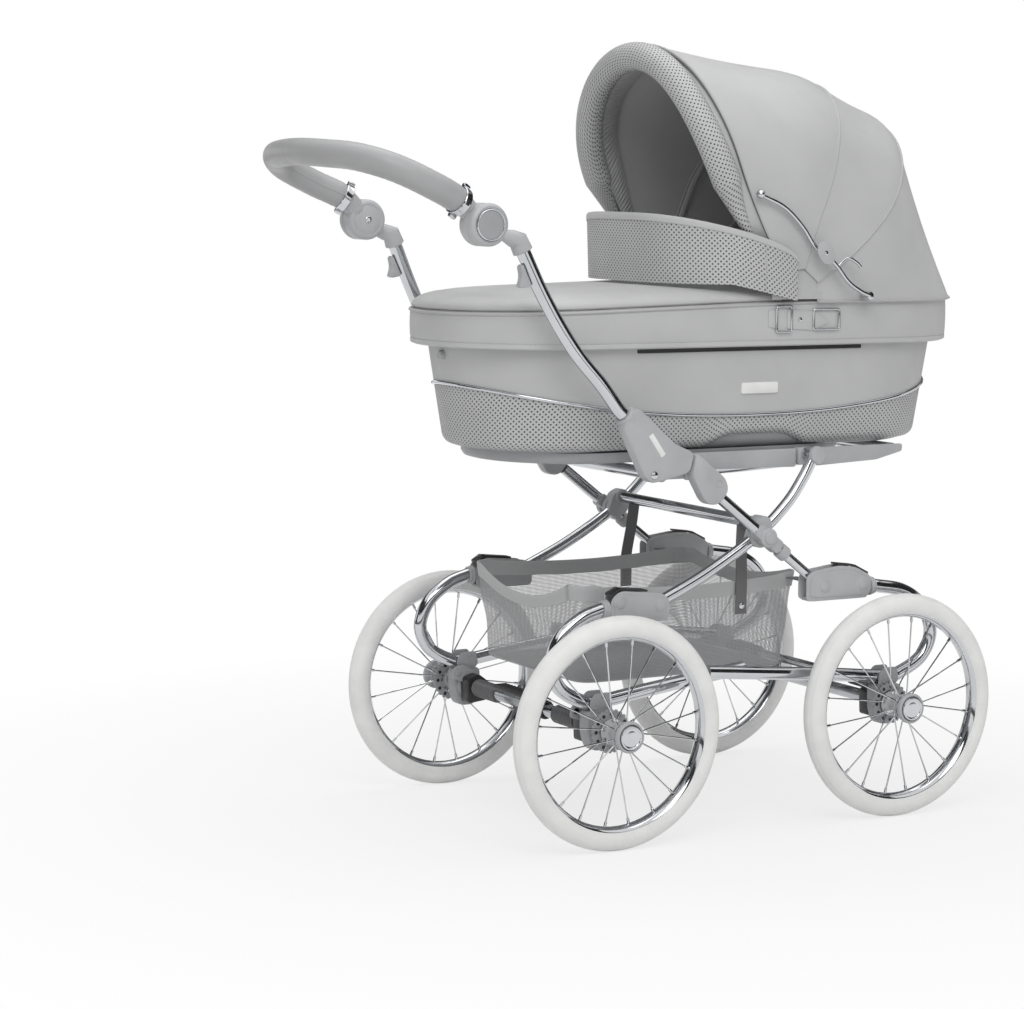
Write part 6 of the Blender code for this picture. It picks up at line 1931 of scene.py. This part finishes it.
FLOOR_REACH = 40.0
FLOOR_WHITE = 0.86
SHADOW_SHARE = 0.72
SHADOW_NEAR = 0.55
SHADOW_FAR = 1.5
FLAG_RADIUS = 5.0
FLAG_BANDS = ((0.05, 0.55, 0.10), (1.9, 4.6, 0.055))
FLAG_SIDES = 48
PANEL_RADIUS = 4.6
PANEL_STEPS = 8
PANEL_HEIGHTS = (0.3, 3.2)
FLAG_PANELS = ((-58, -22, 0.03), (20, 75, 0.25), (145, 175, 0.10))
WORLD_FILL = 0.55
LAMP_TARGET = (0.25, 0.0, 0.6)


def seen_directly(tree):
    """One for camera, glossy and transmission rays, which see the backdrop as plain white."""
    path = tree.nodes.new("ShaderNodeLightPath")
    share = path.outputs["Is Camera Ray"]
    for name in ("Is Glossy Ray", "Is Transmission Ray"):
        larger = tree.nodes.new("ShaderNodeMath")
        larger.operation = "MAXIMUM"
        tree.links.new(share, larger.inputs[0])
        tree.links.new(path.outputs[name], larger.inputs[1])
        share = larger.outputs[0]
    return share


def floor_paint():
    """White floor that keeps a soft shadow near the pram and fades to plain white further out."""
    paint = Paint("floor_paint", (FLOOR_WHITE, FLOOR_WHITE, FLOOR_WHITE), 0.9)
    paint.set("Specular IOR Level", 0.0)
    where = paint.node("ShaderNodeNewGeometry").outputs["Position"]
    spread = paint.vector_math("LENGTH", paint.vector_math("SUBTRACT", where, tuple(at(0.28, 0.0, 0.0))))
    fade = paint.ramp(spread, SHADOW_SHARE, 1.0, SHADOW_NEAR, SHADOW_FAR)
    glow = paint.node("ShaderNodeEmission")
    blend = paint.node("ShaderNodeMixShader")
    paint.link(paint.math("MULTIPLY", fade, seen_directly(paint.tree)), blend.inputs[0])
    paint.link(paint.shader.outputs[0], blend.inputs[1])
    paint.link(glow.outputs[0], blend.inputs[2])
    paint.link(blend.outputs[0], paint.tree.nodes["Material Output"].inputs["Surface"])
    return paint.material


def stage_piece(name, work, material):
    mesh = bpy.data.meshes.new(name)
    work.to_mesh(mesh)
    work.free()
    mesh.materials.append(material)
    item = bpy.data.objects.new(name, mesh)
    bpy.context.scene.collection.objects.link(item)
    return item


def curved_wall(work, radius, angles, heights):
    """Upright wall round the stage through some angles in degrees."""
    rings = []
    for height in heights:
        rings.append([work.verts.new((radius * math.cos(math.radians(angle)),
                                      radius * math.sin(math.radians(angle)), height)) for angle in angles])
    for (a, b), (c, d) in zip(zip(rings[0], rings[0][1:]), zip(rings[1], rings[1][1:])):
        work.faces.new((a, b, d, c))


def gloss_only(name, work, tone):
    """Dark cloth that shows in reflections and nowhere else."""
    flag = stage_piece(name, work, Paint(f"{name}_cloth", (tone,) * 3, 1.0).material)
    flag.visible_camera = False
    flag.visible_diffuse = False
    flag.visible_transmission = False
    flag.visible_shadow = False
    flag.visible_volume_scatter = False


def build_stage():
    """Pale floor, and dark studio flags all round that only polished surfaces show."""
    work = bmesh.new()
    corners = [work.verts.new((x * FLOOR_REACH, y * FLOOR_REACH, 0.0))
               for x, y in ((-1, -1), (1, -1), (1, 1), (-1, 1))]
    work.faces.new(corners)
    stage_piece("floor", work, floor_paint())
    for index, (low, high, tone) in enumerate(FLAG_BANDS):
        work = bmesh.new()
        angles = [360 * step / FLAG_SIDES for step in range(FLAG_SIDES + 1)]
        curved_wall(work, FLAG_RADIUS, angles, (low, high))
        gloss_only(f"studio_flag_{index}", work, tone)
    for index, (first, last, tone) in enumerate(FLAG_PANELS):
        work = bmesh.new()
        angles = [first + (last - first) * step / PANEL_STEPS for step in range(PANEL_STEPS + 1)]
        curved_wall(work, PANEL_RADIUS, angles, PANEL_HEIGHTS)
        gloss_only(f"studio_panel_{index}", work, tone)


def build_world():
    world = bpy.data.worlds.new("studio")
    bpy.context.scene.world = world
    world.use_nodes = True
    tree = world.node_tree
    tree.nodes.clear()
    choose = tree.nodes.new("ShaderNodeMixShader")
    tree.links.new(seen_directly(tree), choose.inputs[0])
    for socket, strength in ((1, WORLD_FILL), (2, 1.0)):
        glow = tree.nodes.new("ShaderNodeBackground")
        glow.inputs["Color"].default_value = (1, 1, 1, 1)
        glow.inputs["Strength"].default_value = strength
        tree.links.new(glow.outputs[0], choose.inputs[socket])
    tree.links.new(choose.outputs[0], tree.nodes.new("ShaderNodeOutputWorld").inputs[0])


def add_lamp(name, spot, size, power):
    lamp = bpy.data.lights.new(name, "AREA")
    lamp.shape = "RECTANGLE"
    lamp.size, lamp.size_y = size
    lamp.energy = power
    item = bpy.data.objects.new(name, lamp)
    bpy.context.scene.collection.objects.link(item)
    item.location = at(*spot)
    way = at(*LAMP_TARGET) - item.location
    item.rotation_euler = way.to_track_quat("-Z", "Y").to_euler()


def build_lamps():
    add_lamp("key_lamp", (-0.9, -2.2, 2.7), (2.4, 1.6), 34)
    add_lamp("top_lamp", (0.4, 0.4, 3.2), (2.6, 2.6), 26)


def build_camera():
    """The camera where the photograph was taken from."""
    level = math.cos(CAMERA_PITCH)
    forward = Vector((math.sin(CAMERA_YAW) * level, math.cos(CAMERA_YAW) * level, -math.sin(CAMERA_PITCH)))
    right = Vector((math.cos(CAMERA_YAW), -math.sin(CAMERA_YAW), 0.0))
    up = right.cross(forward)
    rolled_right = right * math.cos(CAMERA_ROLL) + up * math.sin(CAMERA_ROLL)
    rolled_up = up * math.cos(CAMERA_ROLL) - right * math.sin(CAMERA_ROLL)
    turn = Matrix((rolled_right, rolled_up, -forward)).transposed().to_4x4()
    lens = bpy.data.cameras.new("camera")
    lens.sensor_width = SENSOR_WIDTH
    lens.lens = FOCAL_PIXELS * SENSOR_WIDTH / PHOTO_WIDTH
    camera = bpy.data.objects.new("camera", lens)
    bpy.context.scene.collection.objects.link(camera)
    camera.matrix_world = Matrix.Translation(at(*CAMERA_SPOT)) @ turn
    bpy.context.scene.camera = camera
    bpy.context.scene.view_settings.view_transform = "Standard"


# Everything in turn

def dress_frame():
    """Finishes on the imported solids, for those that stay in view."""
    for name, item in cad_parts.items():
        paint = GREY
        if "tube" in name or "spring" in name or "scissor" in name or "axle" in name:
            paint = CHROME
        elif "tyre" in name:
            paint = TYRE
        for slot in item.material_slots:
            slot.material = paint


dress_frame()
build_camera()
build_stage()
build_world()
build_lamps()
build_wheels()
build_axles()
build_springs()
build_blocks()
build_rear_scissor()
build_front_scissor()
build_seat_frame()
build_pedal()
build_latches()
build_handle()
build_cot()
build_apron()
build_hood()
build_flap()
build_basket()
